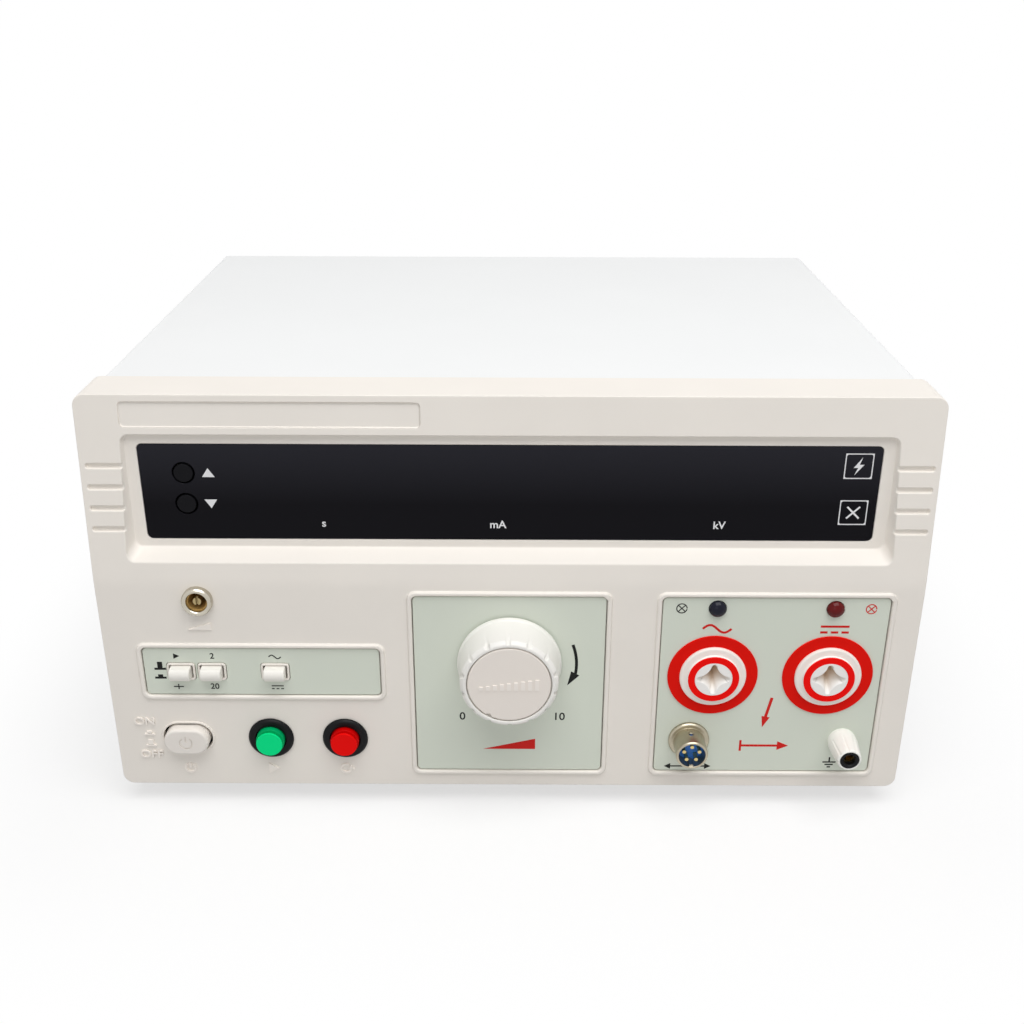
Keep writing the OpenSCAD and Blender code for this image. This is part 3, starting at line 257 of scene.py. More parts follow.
def smooth(piece, angle=40):
    only(piece)
    bpy.ops.object.shade_smooth_by_angle(angle=math.radians(angle))
    flats = piece.modifiers.new("flats", "WEIGHTED_NORMAL")
    flats.keep_sharp = True
    bpy.ops.object.modifier_apply(modifier=flats.name)


fold_height = 93.7
lean_angle = math.radians(4.75)


def leaning(z):
    return max(0, z - fold_height) * math.tan(lean_angle)


def leaning_block(name, x, y, z):
    piece = block(name, x, y, z)
    pick(piece, "FACE", lambda c: True)
    bpy.ops.mesh.bisect(plane_co=spot(0, 0, fold_height), plane_no=(0, 0, 1))
    bpy.ops.object.mode_set(mode="OBJECT")
    shift(piece, lambda c: c[0].y < y[0] + 0.01 and c[0].z > fold_height + 0.3, y=leaning(z[1]))
    return piece


def drum(name, x, z, y, width, sides=96):
    nothing_selected()
    bpy.ops.mesh.primitive_cylinder_add(vertices=sides, radius=width * mm / 2, depth=(y[1] - y[0]) * mm,
                                        location=spot(x, (y[0] + y[1]) / 2, z),
                                        rotation=(math.pi / 2, 0, 0))
    bpy.ops.object.transform_apply()
    bpy.context.object.name = name
    return bpy.context.object


def rounded_block(name, x, y, z, radius, steps=6):
    piece = block(name, x, y, z)
    round_edges(piece, along(1), radius, steps)
    return piece


button_places = (-130.4, -118.1, -93.0)
button_half, button_z = 4.75, (51.4, 57.4)
power_x, power_z, power_round = (-140.9, -120.9), (16.5, 29.9), 6.6
push_places = (-97, -66.8)
socket_places = (80.7, 126.3)
trimmer_place, trimmer_height = -120.6, 86.6
control_place, earth_place, low_row = 73.1, 135.3, 23.2
knob_height, socket_height, lamp_height = 59.4, 53.8, 83.8
plate_places = {"button_plate": (-98.2, 54.4, 98, 25.6), "knob_plate": (0, 48.2, 79.6, 85),
                "output_plate": (103.5, 48.2, 92.4, 85)}
bead_width = 1.8
through = (-2, 5)

bezel = leaning_block("bezel", (-160, 160), (0, 28), (0, 168))
round_edges(bezel, along(1), 4.5, 8)
round_edges(bezel, lambda c: all(abs(p.z - fold_height) < 0.01 and p.y < 0.01 for p in c), 2, 4)
carve(bezel, leaning_block("bezel_hollow", (-155.5, 155.5), (3, 29), (4.5, 163.5)))
carve(bezel, rounded_block("cover_seat", (-157.75, 157.75), (22, 29), (2.25, 165.75), 2.35))
recess_back = block("recess_back", (-147.5, 147.5), (1.5, 9.5), (99.8, 155.2))
shift(recess_back, lambda c: c[0].y < 1.6 and c[0].z > 155, y=5)
carve(bezel, recess_back, "UNION")

beads = []
for middle, height, width, tall in plate_places.values():
    x = (middle - width / 2, middle + width / 2)
    z = (height - tall / 2, height + tall / 2)
    inner_x = (x[0] + bead_width, x[1] - bead_width)
    inner_z = (z[0] + bead_width, z[1] - bead_width)
    bead = rounded_block("bead", x, (-1, 1.5), z, 3.5)
    carve(bead, rounded_block("bead_inside", inner_x, (-2, 3), inner_z, 2.2))
    round_edges(bead, lambda c: all(p.y < -0.99 for p in c), 0.75, 4)
    beads.append(bead)
    carve(bezel, rounded_block("pocket", inner_x, (-0.5, 1.8), inner_z, 2.2))
for bead in beads:
    carve(bezel, bead, "UNION")

recess_taper, front_flare, back_flare = 3, 0.9, 0.809
recess = block("recess", (-146.1, 146.1), (-1, 7), (101.2, 152.7))
shift(recess, lambda c: c[0].y > 6.9 and c[0].z < 102, z=5.2)
for side in (-1, 1):
    shift(recess, lambda c: c[0].y > 6.9 and c[0].x * side > 0, x=-recess_taper * side)
    shift(recess, lambda c: c[0].y < 0 and c[0].z < 102 and c[0].x * side > 0, x=front_flare * side)
    shift(recess, lambda c: c[0].y > 6.9 and c[0].z < 107 and c[0].x * side > 0, x=back_flare * side)
round_edges(recess, lambda c: abs(c[0].y - c[1].y) > 4, 3)
carve(bezel, recess)
carve(bezel, rounded_block("window_opening", (-138.95, 138.95), (5, 12), (109.55, 148.45), 2.1))

grooves = []
for z in (115.8, 124.1, 132.4, 140.7):
    for side in (-1, 1):
        groove = block("groove", sorted((140 * side, 157.8 * side)), (-2, 1.2), (z - 0.95, z + 0.95))
        round_edges(groove, lambda c: along(1)(c) and abs(c[0].x) > 156, 0.9)
        shift(groove, lambda c: True, y=leaning(z))
        grooves.append(groove)
carve(bezel, join(grooves))
name_strip = rounded_block("name_strip", (-143.4, -33), (-2, 0.5), (155.7, 165.1), 1.5)
shift(name_strip, lambda c: True, y=leaning(155.7))
shift(name_strip, lambda c: c[0].z > 160, y=leaning(165.1) - leaning(155.7))
carve(bezel, name_strip)


def output_holes(y):
    return ([drum("socket_hole", x, socket_height, y, 16.3) for x in socket_places]
            + [drum("lamp_hole", x, lamp_height, y, 7) for x in socket_places]
            + [drum("control_hole", control_place, low_row, y, 13.1),
               drum("earth_hole", earth_place, low_row, y, 6.3)])


holes = [block("button_hole", (x - button_half, x + button_half), through, button_z) for x in button_places]
holes.append(rounded_block("power_hole", power_x, through, power_z, power_round, 12))
holes += [drum("push_hole", x, low_row, through, 15.9) for x in push_places]
holes.append(drum("trimmer_hole", trimmer_place, trimmer_height, through, 10.3))
holes.append(drum("shaft_hole", 0, knob_height, through, 12))
holes += output_holes(through)
soften(bezel, 0.45)
for hole in holes:
    carve(bezel, hole)
smooth(bezel)
frames = []
for x in button_places:
    button_frame = rounded_block("button_frame", (x - 5.55, x + 5.55), (-0.6, 3), (50.6, 58.2), 1.2, 5)
    carve(button_frame,
          rounded_block("frame_hole", (x - button_half, x + button_half), through, button_z, 0.5, 4))
    frames.append(button_frame)
power_rim = rounded_block("power_rim", (-141.7, -120.1), (-0.55, 2), (15.7, 30.7), 7.4, 14)
carve(power_rim, rounded_block("rim_hole", power_x, through, power_z, power_round, 14))
frames.append(power_rim)
for frame_ring in frames:
    soften(frame_ring, 0.25)
bezel = join([bezel] + frames)


def linear(*shades):
    return tuple((shade / 255 / 12.92 if shade < 11 else ((shade / 255 + 0.055) / 1.055) ** 2.4)
                 for shade in shades) + (1,)


dark_stop, light_stop = 0.3, 0.7


def finish(name, colour, rough, cloud=0.03, cloud_size=25, grain=0.02, grain_size=0.4, **sockets):
    """A surface finish: colour and gloss vary a little in soft clouds, and the skin has a fine grain."""
    material = bpy.data.materials.new(name)
    material.use_nodes = True
    nodes = material.node_tree.nodes
    links = material.node_tree.links
    shader = nodes["Principled BSDF"]
    for socket, value in sockets.items():
        shader.inputs[socket.replace("_", " ")].default_value = value
    place = nodes.new("ShaderNodeTexCoord")
    place.name = "place"
    clouds = nodes.new("ShaderNodeTexNoise")
    clouds.inputs["Scale"].default_value = 1000 / cloud_size
    clouds.inputs["Detail"].default_value = 4
    links.new(place.outputs["Object"], clouds.inputs["Vector"])
    tint = nodes.new("ShaderNodeValToRGB")
    tint.name = "tint"
    for stop, amount in zip(tint.color_ramp.elements, (1 - cloud, 1 + cloud)):
        stop.color = [min(1, channel * amount) for channel in colour[:3]] + [1]
    tint.color_ramp.elements[0].position = dark_stop
    tint.color_ramp.elements[1].position = light_stop
    links.new(clouds.outputs["Fac"], tint.inputs["Fac"])
    links.new(tint.outputs["Color"], shader.inputs["Base Color"])
    gloss = nodes.new("ShaderNodeMapRange")
    gloss.inputs["To Min"].default_value = rough * 0.88
    gloss.inputs["To Max"].default_value = min(1, rough * 1.12)
    links.new(clouds.outputs["Fac"], gloss.inputs["Value"])
    links.new(gloss.outputs["Result"], shader.inputs["Roughness"])
    skin = nodes.new("ShaderNodeTexNoise")
    skin.inputs["Scale"].default_value = 1000 / grain_size
    skin.inputs["Detail"].default_value = 2
    links.new(place.outputs["Object"], skin.inputs["Vector"])
    bump = nodes.new("ShaderNodeBump")
    bump.inputs["Strength"].default_value = 0.5
    bump.inputs["Distance"].default_value = grain * mm
    links.new(skin.outputs["Fac"], bump.inputs["Height"])
    links.new(bump.outputs["Normal"], shader.inputs["Normal"])
    return material


def dress(piece, material):
    piece.data.materials.clear()
    piece.data.materials.append(material)
    return piece


def settle(piece, body, slot, *nodes):
    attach(piece, body)
    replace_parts(piece, *nodes)
    return piece


bezel_plastic = finish("bezel_plastic", linear(244, 238, 230), 0.5, cloud=0.012, grain=0.015)
dress(bezel, bezel_plastic)
settle(bezel, "case", "bezel_plastic", "front_bezel")


# Marks moulded into the bezel stand a little proud of it in its plastic, made a little lighter as a painted
# highlight:
# ON and OFF by the power button, how its cap stands, and plain symbols for power, start, reset and preset.
bite = 0.01
capital_share = 0.73


def lettering(words, x, z, tall, y=0.0, depth=0.05, wide=1.0, bold=0.0):
    nothing_selected()
    bpy.ops.object.text_add()
    letters = bpy.context.object
    letters.data.body = words
    letters.data.size = tall * mm / capital_share
    letters.data.align_x = "CENTER"
    letters.data.align_y = "CENTER"
    letters.data.offset = bold * mm
    letters.data.extrude = depth * mm / 2
    bpy.ops.object.convert(target="MESH")
    letters = bpy.context.object
    bpy.ops.object.mode_set(mode="EDIT")
    bpy.ops.mesh.select_all(action="SELECT")
    bpy.ops.mesh.remove_doubles(threshold=weld_gap / 2)
    bpy.ops.object.mode_set(mode="OBJECT")
    letters.scale = (wide, 1, 1)
    letters.rotation_euler = (math.pi / 2, 0, 0)
    letters.location = spot(x, y - depth / 2 + bite, z)
    bpy.ops.object.transform_apply()
    return letters


def drawn(places):
    nothing_selected()
    bpy.ops.mesh.primitive_plane_add(size=0.0001, location=places[0])
    bpy.ops.object.transform_apply()
    bpy.ops.object.mode_set(mode="EDIT")
    bpy.ops.mesh.select_mode(type="VERT")
    bpy.ops.mesh.select_all(action="SELECT")
    bpy.ops.mesh.merge(type="CENTER")
    for start, end in zip(places, places[1:]):
        bpy.ops.mesh.extrude_vertices_move(TRANSFORM_OT_translate={"value": end - start})
    bpy.ops.mesh.select_all(action="SELECT")
    return bpy.context.object


def close_up():
    """Turns all the drawn faces outward and leaves edit mode."""
    bpy.ops.mesh.select_all(action="SELECT")
    bpy.ops.mesh.normals_make_consistent(inside=False)
    bpy.ops.object.mode_set(mode="OBJECT")


def thicken(move):
    """Fills the drawn outline and draws it out into a solid."""
    bpy.ops.mesh.edge_face_add()
    bpy.ops.mesh.extrude_region_move(TRANSFORM_OT_translate={"value": move})
    close_up()


def shape(points, y=0.0, depth=0.05):
    piece = drawn([spot(x, y + bite, z) for x, z in points])
    thicken((0, -depth * mm - bite * mm, 0))
    return piece


def stroke(points, width, y=0.0, depth=0.05):
    left, right = [], []
    for i, (x, z) in enumerate(points):
        x0, z0 = points[max(i - 1, 0)]
        x1, z1 = points[min(i + 1, len(points) - 1)]
        half = width / 2 / math.hypot(x1 - x0, z1 - z0)
        left.append((x - (z1 - z0) * half, z + (x1 - x0) * half))
        right.append((x + (z1 - z0) * half, z - (x1 - x0) * half))
    return shape(left + right[::-1], y, depth)


def arc(x, z, radius, start, end, steps=20):
    angles = [math.radians(start + (end - start) * i / steps) for i in range(steps + 1)]
    return [(x + radius * math.cos(angle), z + radius * math.sin(angle)) for angle in angles]


def arrow_head(x, z, heading, long, wide, y=0.0, depth=0.05):
    along_x, along_z = math.cos(math.radians(heading)), math.sin(math.radians(heading))
    return shape([(x + along_x * long, z + along_z * long),
                  (x - along_z * wide / 2, z + along_x * wide / 2),
                  (x + along_z * wide / 2, z - along_x * wide / 2)], y, depth)


def merged(pieces):
    for piece in pieces[1:]:
        carve(pieces[0], piece, "UNION")
    return pieces[0]


def power_mark(x, z, radius, width, y=0.0, depth=0.05):
    return join([stroke(arc(x, z, radius, 125, 415, 28), width, y, depth),
                 stroke([(x, z + radius * 0.1), (x, z + radius * 1.2)], width, y, depth)])


raised = 0.6
moulded_marks = join([
    lettering("ON", -147.9, 30.7, 3.6, depth=raised, wide=1.1, bold=0.06),
    lettering("OFF", -146.7, 14.8, 3.6, depth=raised, wide=1.1, bold=0.06),
    stroke([(-148.4, 24.6), (-144.4, 24.6)], 0.7, depth=raised),
    shape([(-147.4, 25.2), (-145.4, 25.2), (-145.4, 26.2), (-147.4, 26.2)], depth=raised),
    stroke([(-148.4, 19.2), (-144.4, 19.2)], 0.7, depth=raised),
    shape([(-147.4, 19.7), (-145.4, 19.7), (-145.4, 21.9), (-147.4, 21.9)], depth=raised),
    power_mark(-131.5, 8.2, 2.0, 0.8, depth=raised),
    shape([(-99.0, 5.8), (-94.8, 8.2), (-99.0, 10.6)], depth=raised),
    merged([stroke(arc(-67.2, 8.2, 2.0, 60, 350, 24), 0.8, depth=raised),
            arrow_head(-65.2, 7.9, 88, 2.0, 2.8, depth=raised)]),
    shape([(-125.6, 73.6), (-116.6, 73.6), (-116.6, 76.6)], depth=raised)])
moulded_marks.name = "moulded_marks"
# Painted highlight: the raised marks are coloured a little lighter than the bezel, though they are the same
# plastic.
raised_mark_highlight = finish("raised_mark_highlight", linear(253, 246, 238), 0.35, cloud=0.01, grain=0.004)
dress(moulded_marks, raised_mark_highlight)
settle(moulded_marks, "case", "bezel_plastic")


# The cover is an upside-down U of sheet steel with air slots in both sides, powder coated off-white.
# Its front edge sits in a rebate inside the bezel's rim.
cover = block("cover", (-157.6, 157.6), (22.3, 248), (2.4, 165.6))
round_edges(cover, lambda c: along(1)(c) and c[0].z > 160, 2.2)
under_cover = block("under_cover", (-156.6, 156.6), (20, 250), (0, 164.6))
round_edges(under_cover, lambda c: along(1)(c) and c[0].z > 160, 1.2)
carve(cover, under_cover)
soften(cover, 0.2, 2)
air_slots = []
for i in range(12):
    air_slot = block("air_slot", (-170, 170), (200.5 - 6.5 * i, 203.5 - 6.5 * i), (61, 107))
    round_edges(air_slot, along(0), 1.45, 5)
    air_slots.append(air_slot)
carve(cover, join(air_slots))
smooth(cover)
case_paint = finish("case_paint", linear(244, 245, 245), 0.42, cloud=0.008, cloud_size=60, grain=0.03,
                    grain_size=0.5)
settle(dress(cover, case_paint), "case", "case_paint", "top_cover")


# The chassis tray is bent from zinc plated sheet, and the back panel from sheet coated pale grey.
# Both are screwed to the cover, and the solids already have their folds, slots and holes.
zinc_steel = finish("zinc_steel", linear(190, 193, 196), 0.38, cloud=0.12, cloud_size=9, grain=0.01,
                    Metallic=1.0)
dress(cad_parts["bottom_chassis"], zinc_steel)
panel_paint = finish("panel_paint", linear(214, 216, 216), 0.45, cloud=0.01, grain=0.03, grain_size=0.5)
dress(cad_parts["rear_panel"], panel_paint)


# Four rubber feet are moulded as short cones. Each has a sunk hole for the screw that holds it
# to the tray.
def turned(name, x, z, profile, y=0.0, sides=96):
    piece = drawn([spot(x + radius, y - out, z) for radius, out in profile])
    bpy.ops.mesh.spin(steps=sides, angle=2 * math.pi, center=spot(x, y, z), axis=(0, 1, 0))
    bpy.ops.mesh.select_all(action="SELECT")
    bpy.ops.mesh.remove_doubles(threshold=weld_gap)
    close_up()
    piece.name = name
    return piece


def set_at(piece, place, turn=(0, 0, 0)):
    only(piece)
    bpy.ops.object.duplicate()
    twin = bpy.context.object
    twin.rotation_euler = [math.radians(angle) for angle in turn]
    twin.location = place
    bpy.ops.object.transform_apply()
    return twin


foot = turned("foot", 0, -bezel_lift,
              [(1.7, 6), (4, 6), (4, 12), (10.1, 12), (10.5, 11.6), (12, 0), (1.7, 0), (1.7, 6)], front_y)
soften(foot, 0.5)
feet = join([set_at(foot, spot(x, y, 2.4), (90, 0, 0)) for x in (-128, 128) for y in (44, 222)])
feet.name = "rubber_feet"
bpy.data.objects.remove(foot)
foot_rubber = finish("foot_rubber", linear(38, 38, 40), 0.75, cloud=0.1, grain=0.04, grain_size=0.6)
settle(dress(feet, foot_rubber), "case", "foot_rubber", "feet")


# Pan head screws with a cross recess hold the cover, the tray, the back panel and the feet.
# They are headed from steel wire and plated with nickel.
screw = turned("screw", 0, -bezel_lift,
               [(0, -7), (1.5, -7), (1.5, 0), (3, 0), (3, 0.7), (2.5, 1.45), (1.3, 1.8), (0, 1.8)],
               front_y, 32)
for wide, tall in ((1.7, 0.4), (0.4, 1.7)):
    carve(screw, block("cross", (-wide, wide), (118, 120), (-bezel_lift - tall, -bezel_lift + tall)))
soften(screw, 0.12, 2)
screws = []
for side in (-1, 1):
    for y, z in ((60, 13.4), (136, 13.4), (208, 13.4), (237, 124)):
        screws.append(set_at(screw, spot(157.6 * side, y, z), (0, 0, 90 * side)))
    screws.append(set_at(screw, spot(120.45 * side, 237, 2.4), (90, 0, 0)))
    for y in (44, 222):
        screws.append(set_at(screw, spot(128 * side, y, -3.6), (90, 0, 0)))
    for x in (49.33, 148):
        screws.append(set_at(screw, spot(x * side, 25, 9), (0, 0, 180)))
bpy.data.objects.remove(screw)
screws = join(screws)
screws.name = "pan_head_screws"
nickel = finish("nickel", linear(196, 190, 176), 0.22, cloud=0.06, cloud_size=6, grain=0.004, Metallic=1.0)
settle(dress(screws, nickel), "case", "nickel", "case_screws")


# The display window is a sheet of dark tinted acrylic, pressed into the recess from behind.
# Two holes at its left end let the setting keys through.
window = rounded_block("window", (-138.8, 138.8), (7, 10), (109.7, 148.3), 2)
carve(window, rounded_block("window_lip", (-141.8, 141.8), (9.5, 11), (106.7, 151.3), 4), "UNION")
key_place, upper_key, lower_key = -122.5, 136.8, 124.2
for z in (upper_key, lower_key):
    carve(window, drum("key_hole", key_place, z, (5, 13), 8.6))
soften(window, 0.25)
window_acrylic = finish("window_acrylic", linear(18, 17, 22), 0.12, cloud=0.1, cloud_size=40, grain=0.0,
                        Specular_IOR_Level=0.06)


def fade_to(material, axis, start, end, colour):
    """The finish's colour goes over into another one along an axis."""
    nodes = material.node_tree.nodes
    links = material.node_tree.links
    split = nodes.new("ShaderNodeSeparateXYZ")
    links.new(nodes["place"].outputs["Object"], split.inputs["Vector"])
    reach = nodes.new("ShaderNodeMapRange")
    reach.inputs["From Min"].default_value = spot(start, start, start)[axis]
    reach.inputs["From Max"].default_value = spot(end, end, end)[axis]
    reach.inputs["To Min"].default_value = dark_stop
    reach.inputs["To Max"].default_value = light_stop
    links.new(split.outputs[axis], reach.inputs["Value"])
    nodes["tint"].color_ramp.elements[1].color = colour
    links.new(reach.outputs["Result"], nodes["tint"].inputs["Fac"])


# Painted light: the acrylic is coloured lighter towards its top, where light from above falls on it.
fade_to(window_acrylic, 2, 124, 152, linear(44, 44, 51))
settle(dress(window, window_acrylic), "case", "window_acrylic", "display_window")

glass = 7
display_marks = [
    shape([(-115.6, 135.2), (-110.8, 135.2), (-113.2, 138.8)], glass),
    shape([(-115.6, 126.0), (-113.2, 122.4), (-110.8, 126.0)], glass),
    lettering("s", -70.9, 116.2, 3.2, glass, bold=0.07),
    lettering("mA", -4.5, 115.9, 3.2, glass, bold=0.07),
    lettering("kV", 79.9, 115.9, 3.2, glass, bold=0.07)]
for x, z in ((130.3, 140.6), (130.3, 121.6)):
    light_frame = rounded_block("light_frame", (x - 5.3, x + 5.3), (6.95, 7.01), (z - 5.1, z + 5.1), 1.1, 4)
    carve(light_frame,
          rounded_block("frame_inside", (x - 4.9, x + 4.9), (6, 8), (z - 4.7, z + 4.7), 0.8, 4))
    display_marks.append(light_frame)
display_marks = join(display_marks + [
    shape([(131.5, 144.2), (128.4, 139.9), (130.1, 139.9), (128.9, 137.0), (132.3, 141.2), (130.5, 141.2)],
          glass),
    merged([stroke([(127.9, 119.2), (132.7, 124.0)], 0.7, glass),
            stroke([(127.9, 124.0), (132.7, 119.2)], 0.7, glass)])])
display_marks.name = "display_marks"
white_print = finish("white_print", linear(236, 236, 238), 0.5, grain=0.002)
settle(dress(display_marks, white_print), "case", "window_acrylic")


# The two setting keys are black plastic plungers with a lightly dished face. A flange behind the
# window keeps each in its hole, over a small switch on the display board.
def key_plunger(name, z):
    key = turned(name, key_place, z,
                 [(0, -16), (3.6, -16), (3.6, -12.3), (5.5, -12.3), (5.5, -11.3), (3.6, -11.3), (3.6, -6.7),
                  (2.9, -6.7), (0, -7.0)])
    soften(key, 0.25)
    return key


key_black = finish("key_black", linear(19, 19, 22), 0.5, cloud=0.08, grain=0.008, Specular_IOR_Level=0.08)
settle(dress(key_plunger("upper_key", upper_key), key_black), "up_key", "black_plastic", "up_button")
settle(dress(key_plunger("lower_key", lower_key), key_black), "down_key", "black_plastic", "down_button")


# Three thin plates lie inside the bezel's beads: satin film, printed pale green-grey on the back.
# Each is cut a little smaller than its pocket and has holes for what comes through it.
plate_print = finish("plate_print", linear(222, 228, 215), 0.38, cloud=0.012, cloud_size=45, grain=0.006,
                     Specular_IOR_Level=0.3)
plate_inset = 2.25
plate_through = (-1, 2)
plate_holes = {
    "button_plate": [rounded_block("frame_gap", (x - 5.8, x + 5.8), plate_through, (50.35, 58.45), 1.4, 4)
                     for x in button_places],
    "knob_plate": [drum("shaft_gap", 0, knob_height, plate_through, 12)],
    "output_plate": output_holes(plate_through)}
for node, (middle, height, width, tall) in plate_places.items():
    plate = rounded_block(node.replace("plate", "panel"),
                          (middle - width / 2 + plate_inset, middle + width / 2 - plate_inset), (0, 0.8),
                          (height - tall / 2 + plate_inset, height + tall / 2 - plate_inset), 1.8)
    for hole in plate_holes[node]:
        carve(plate, hole)
    soften(plate, 0.12, 2)
    settle(dress(plate, plate_print), "case", "plate_print", node)


def lamp_mark(x, z):
    return merged([stroke(arc(x, z, 2.0, 0, 350, 28), 0.4),
                   stroke([(x - 1.4, z - 1.4), (x + 1.4, z + 1.4)], 0.4),
                   stroke([(x - 1.4, z + 1.4), (x + 1.4, z - 1.4)], 0.4)])


def wave_mark(left, z, step, steps, tall, width):
    waves = [2 * math.pi * i / steps for i in range(steps + 1)]
    return stroke([(left + i * step, z + tall * math.sin(wave)) for i, wave in enumerate(waves)], width)


def direct_mark(left, right, z, low, dash, width):
    middle = (left + right) / 2
    lines = ((left, right, z), (left, left + dash, low), (middle - dash / 2, middle + dash / 2, low),
             (right - dash, right, low))
    return join([stroke([(start, height), (end, height)], width) for start, end, height in lines])


black_marks = join([
    shape([(-132.9, 60.2), (-130.5, 61.4), (-132.9, 62.6)]),
    lettering("2", -117.6, 61.4, 2.6, bold=0.06), lettering("20", -117.7, 47.4, 2.6, bold=0.06),
    wave_mark(-95.2, 61.2, 0.4, 12, 0.8, 0.45),
    direct_mark(-95.0, -90.2, 47.8, 46.5, 1.1, 0.45),
    merged([stroke([(-134.2, 47.3), (-130.2, 47.3)], 0.45),
            stroke([(-132.2, 46.1), (-132.2, 48.5)], 0.45)]),
    merged([stroke([(-141.0, 55.5), (-136.4, 55.5)], 0.9),
            shape([(-139.7, 55.7), (-137.7, 55.7), (-137.7, 58.7), (-139.7, 58.7)])]),
    merged([stroke([(-141.2, 51.4), (-136.6, 51.4)], 0.9),
            shape([(-139.9, 51.6), (-137.9, 51.6), (-137.9, 52.9), (-139.9, 52.9)])]),
    merged([stroke(arc(0, 58.2, 26.6, 20, -9, 16), 1.2), arrow_head(26.2, 54.2, 241, 6.4, 3.8)]),
    lettering("0", -18.9, 33.7, 3.6, bold=0.06), lettering("10", 20.1, 33.7, 3.6, bold=0.06),
    lamp_mark(66.8, lamp_height),
    merged([stroke([(66.2, 9.9), (80.6, 9.9)], 0.6), arrow_head(66.4, 9.9, 180, 2.6, 2.8),
            arrow_head(80.4, 9.9, 0, 2.6, 2.8)]),
    merged([stroke([(131.6, 14.6), (131.6, 12.2)], 0.6), stroke([(128.9, 12.2), (134.3, 12.2)], 0.6)]),
    stroke([(129.9, 11.0), (133.3, 11.0)], 0.6), stroke([(130.9, 9.8), (132.3, 9.8)], 0.6)])
black_marks.name = "black_print"
black_ink = finish("black_ink", linear(26, 27, 26), 0.5, grain=0.002, Specular_IOR_Level=0.15)
settle(dress(black_marks, black_ink), "case", "plate_print")

red_marks = join([
    shape([(-10.6, 18.0), (10.6, 18.0), (10.6, 23.0)]),
    wave_mark(75.5, 74.8, 0.7, 16, 1.7, 0.95),
    direct_mark(121.4, 132.6, 76.0, 73.4, 2.9, 0.95),
    merged([stroke([(105.4, 43.2), (103.4, 33.6)], 1.2), arrow_head(103.6, 34.2, 258, 5.2, 3.4)]),
    lamp_mark(140.2, lamp_height),
    merged([stroke([(94.4, 17.6), (94.4, 22.8)], 0.9), stroke([(94.4, 20.2), (110.2, 20.2)], 1.0),
            arrow_head(109.4, 20.2, 0, 4.6, 4.2)])])
red_marks.name = "red_print"
red_ink = finish("red_ink", linear(216, 34, 30), 0.5, grain=0.002, Specular_IOR_Level=0.15)
settle(dress(red_marks, red_ink), "case", "plate_print")


# Three latching push buttons have off-white moulded caps with barrel-shaped faces. Each cap is
# pressed on the stem of its own switch behind the plate.
barrel_face = [(-1.4 - 3.2 * math.cos(angle), 54.4 + 3.2 * math.sin(angle))
               for angle in (math.radians(57.5 - 115 * i / 14) for i in range(15))]
cap = drawn([spot(-4.1, y, z) for y, z in [(8, 57.1)] + barrel_face + [(8, 51.7)]])
thicken((8.2 * mm, 0, 0))
soften(cap, 0.6, 5, 45)
cap = join([cap, block("cap_stem", (-2, 2), (7.9, 16), (52.9, 55.9))])
smooth(cap)
key_plastic = finish("key_plastic", linear(246, 243, 236), 0.42, cloud=0.01, grain=0.008)
for name, x in zip(("mode", "range", "polarity"), button_places):
    button = set_at(cap, Vector((x * mm, 0, 0)))
    button.name = name + "_cap"
    settle(dress(button, key_plastic), name + "_key", "key_plastic", name + "_button")
bpy.data.objects.remove(cap)


# The power button is a long round-ended cap moulded in the bezel's plastic, its mark sunk in the face.
# It runs in a raised rim of the bezel and is pressed on the stem of the power switch.
power_cap = rounded_block("power_cap", (-139.9, -121.9), (-4.4, 8), (17.3, 29.1), 5.85, 14)
round_edges(power_cap, lambda c: all(p.y < -4.3 for p in c), 1.1)
carve(power_cap, power_mark(-130.9, 23.0, 2.5, 0.6, -4.0, 1.0))
power_cap = join([power_cap, block("power_stem", (-133.9, -127.9), (7.9, 14), (20.7, 25.7))])
smooth(power_cap)
power_plastic = finish("power_plastic", linear(240, 234, 227), 0.45, cloud=0.01, grain=0.008)
settle(dress(power_cap, power_plastic), "power_key", "bezel_plastic", "power_button")


# Start and reset are round push buttons: a black moulded body with a flange, held by a nut behind,
# and a clear-coloured cap in two steps that runs in its bore.
rings = []
for x in push_places:
    ring = turned("push_ring", x, low_row,
                  [(0, -20), (7.8, -20), (7.8, 0), (9.2, 0), (9.2, 0.8), (8.4, 1.6), (6.2, 1.6),
                   (6.2, -12.3), (0, -12.3)])
    soften(ring, 0.25)
    rings.append(ring)
rings = join(rings)
rings.name = "push_button_rings"
black_plastic = finish("black_plastic", linear(17, 18, 20), 0.38, cloud=0.06, grain=0.01,
                       Specular_IOR_Level=0.14)
settle(dress(rings, black_plastic), "case", "black_plastic", "push_button_bodies")


def push_cap(name, x):
    cap = turned(name, x, low_row,
                 [(0, -9), (5.75, -9), (5.75, 3.4), (4.5, 3.5), (4.5, 4.5), (5.25, 4.6), (5.25, 5.4),
                  (0, 5.4)])
    soften(cap, 0.12)
    return cap


cap_edge, cap_side = -4.75, -3.6
start_green = finish("start_green", linear(0, 238, 145), 0.35, cloud=0.03, grain=0.004,
                     Specular_IOR_Level=0.08)
# Painted shade: behind its face the green cap turns a darker green along its sides.
fade_to(start_green, 1, cap_edge, cap_side, linear(0, 170, 100))
settle(dress(push_cap("start_cap", push_places[0]), start_green), "start_key", "start_green",
       "start_button")
reset_red = finish("reset_red", linear(248, 6, 4), 0.35, cloud=0.03, grain=0.004, Specular_IOR_Level=0.08)
# Painted shade: behind its face the red cap turns a darker red along its sides.
fade_to(reset_red, 1, cap_edge, cap_side, linear(204, 4, 4))
settle(dress(push_cap("reset_cap", push_places[1]), reset_red), "reset_key", "reset_red", "reset_button")


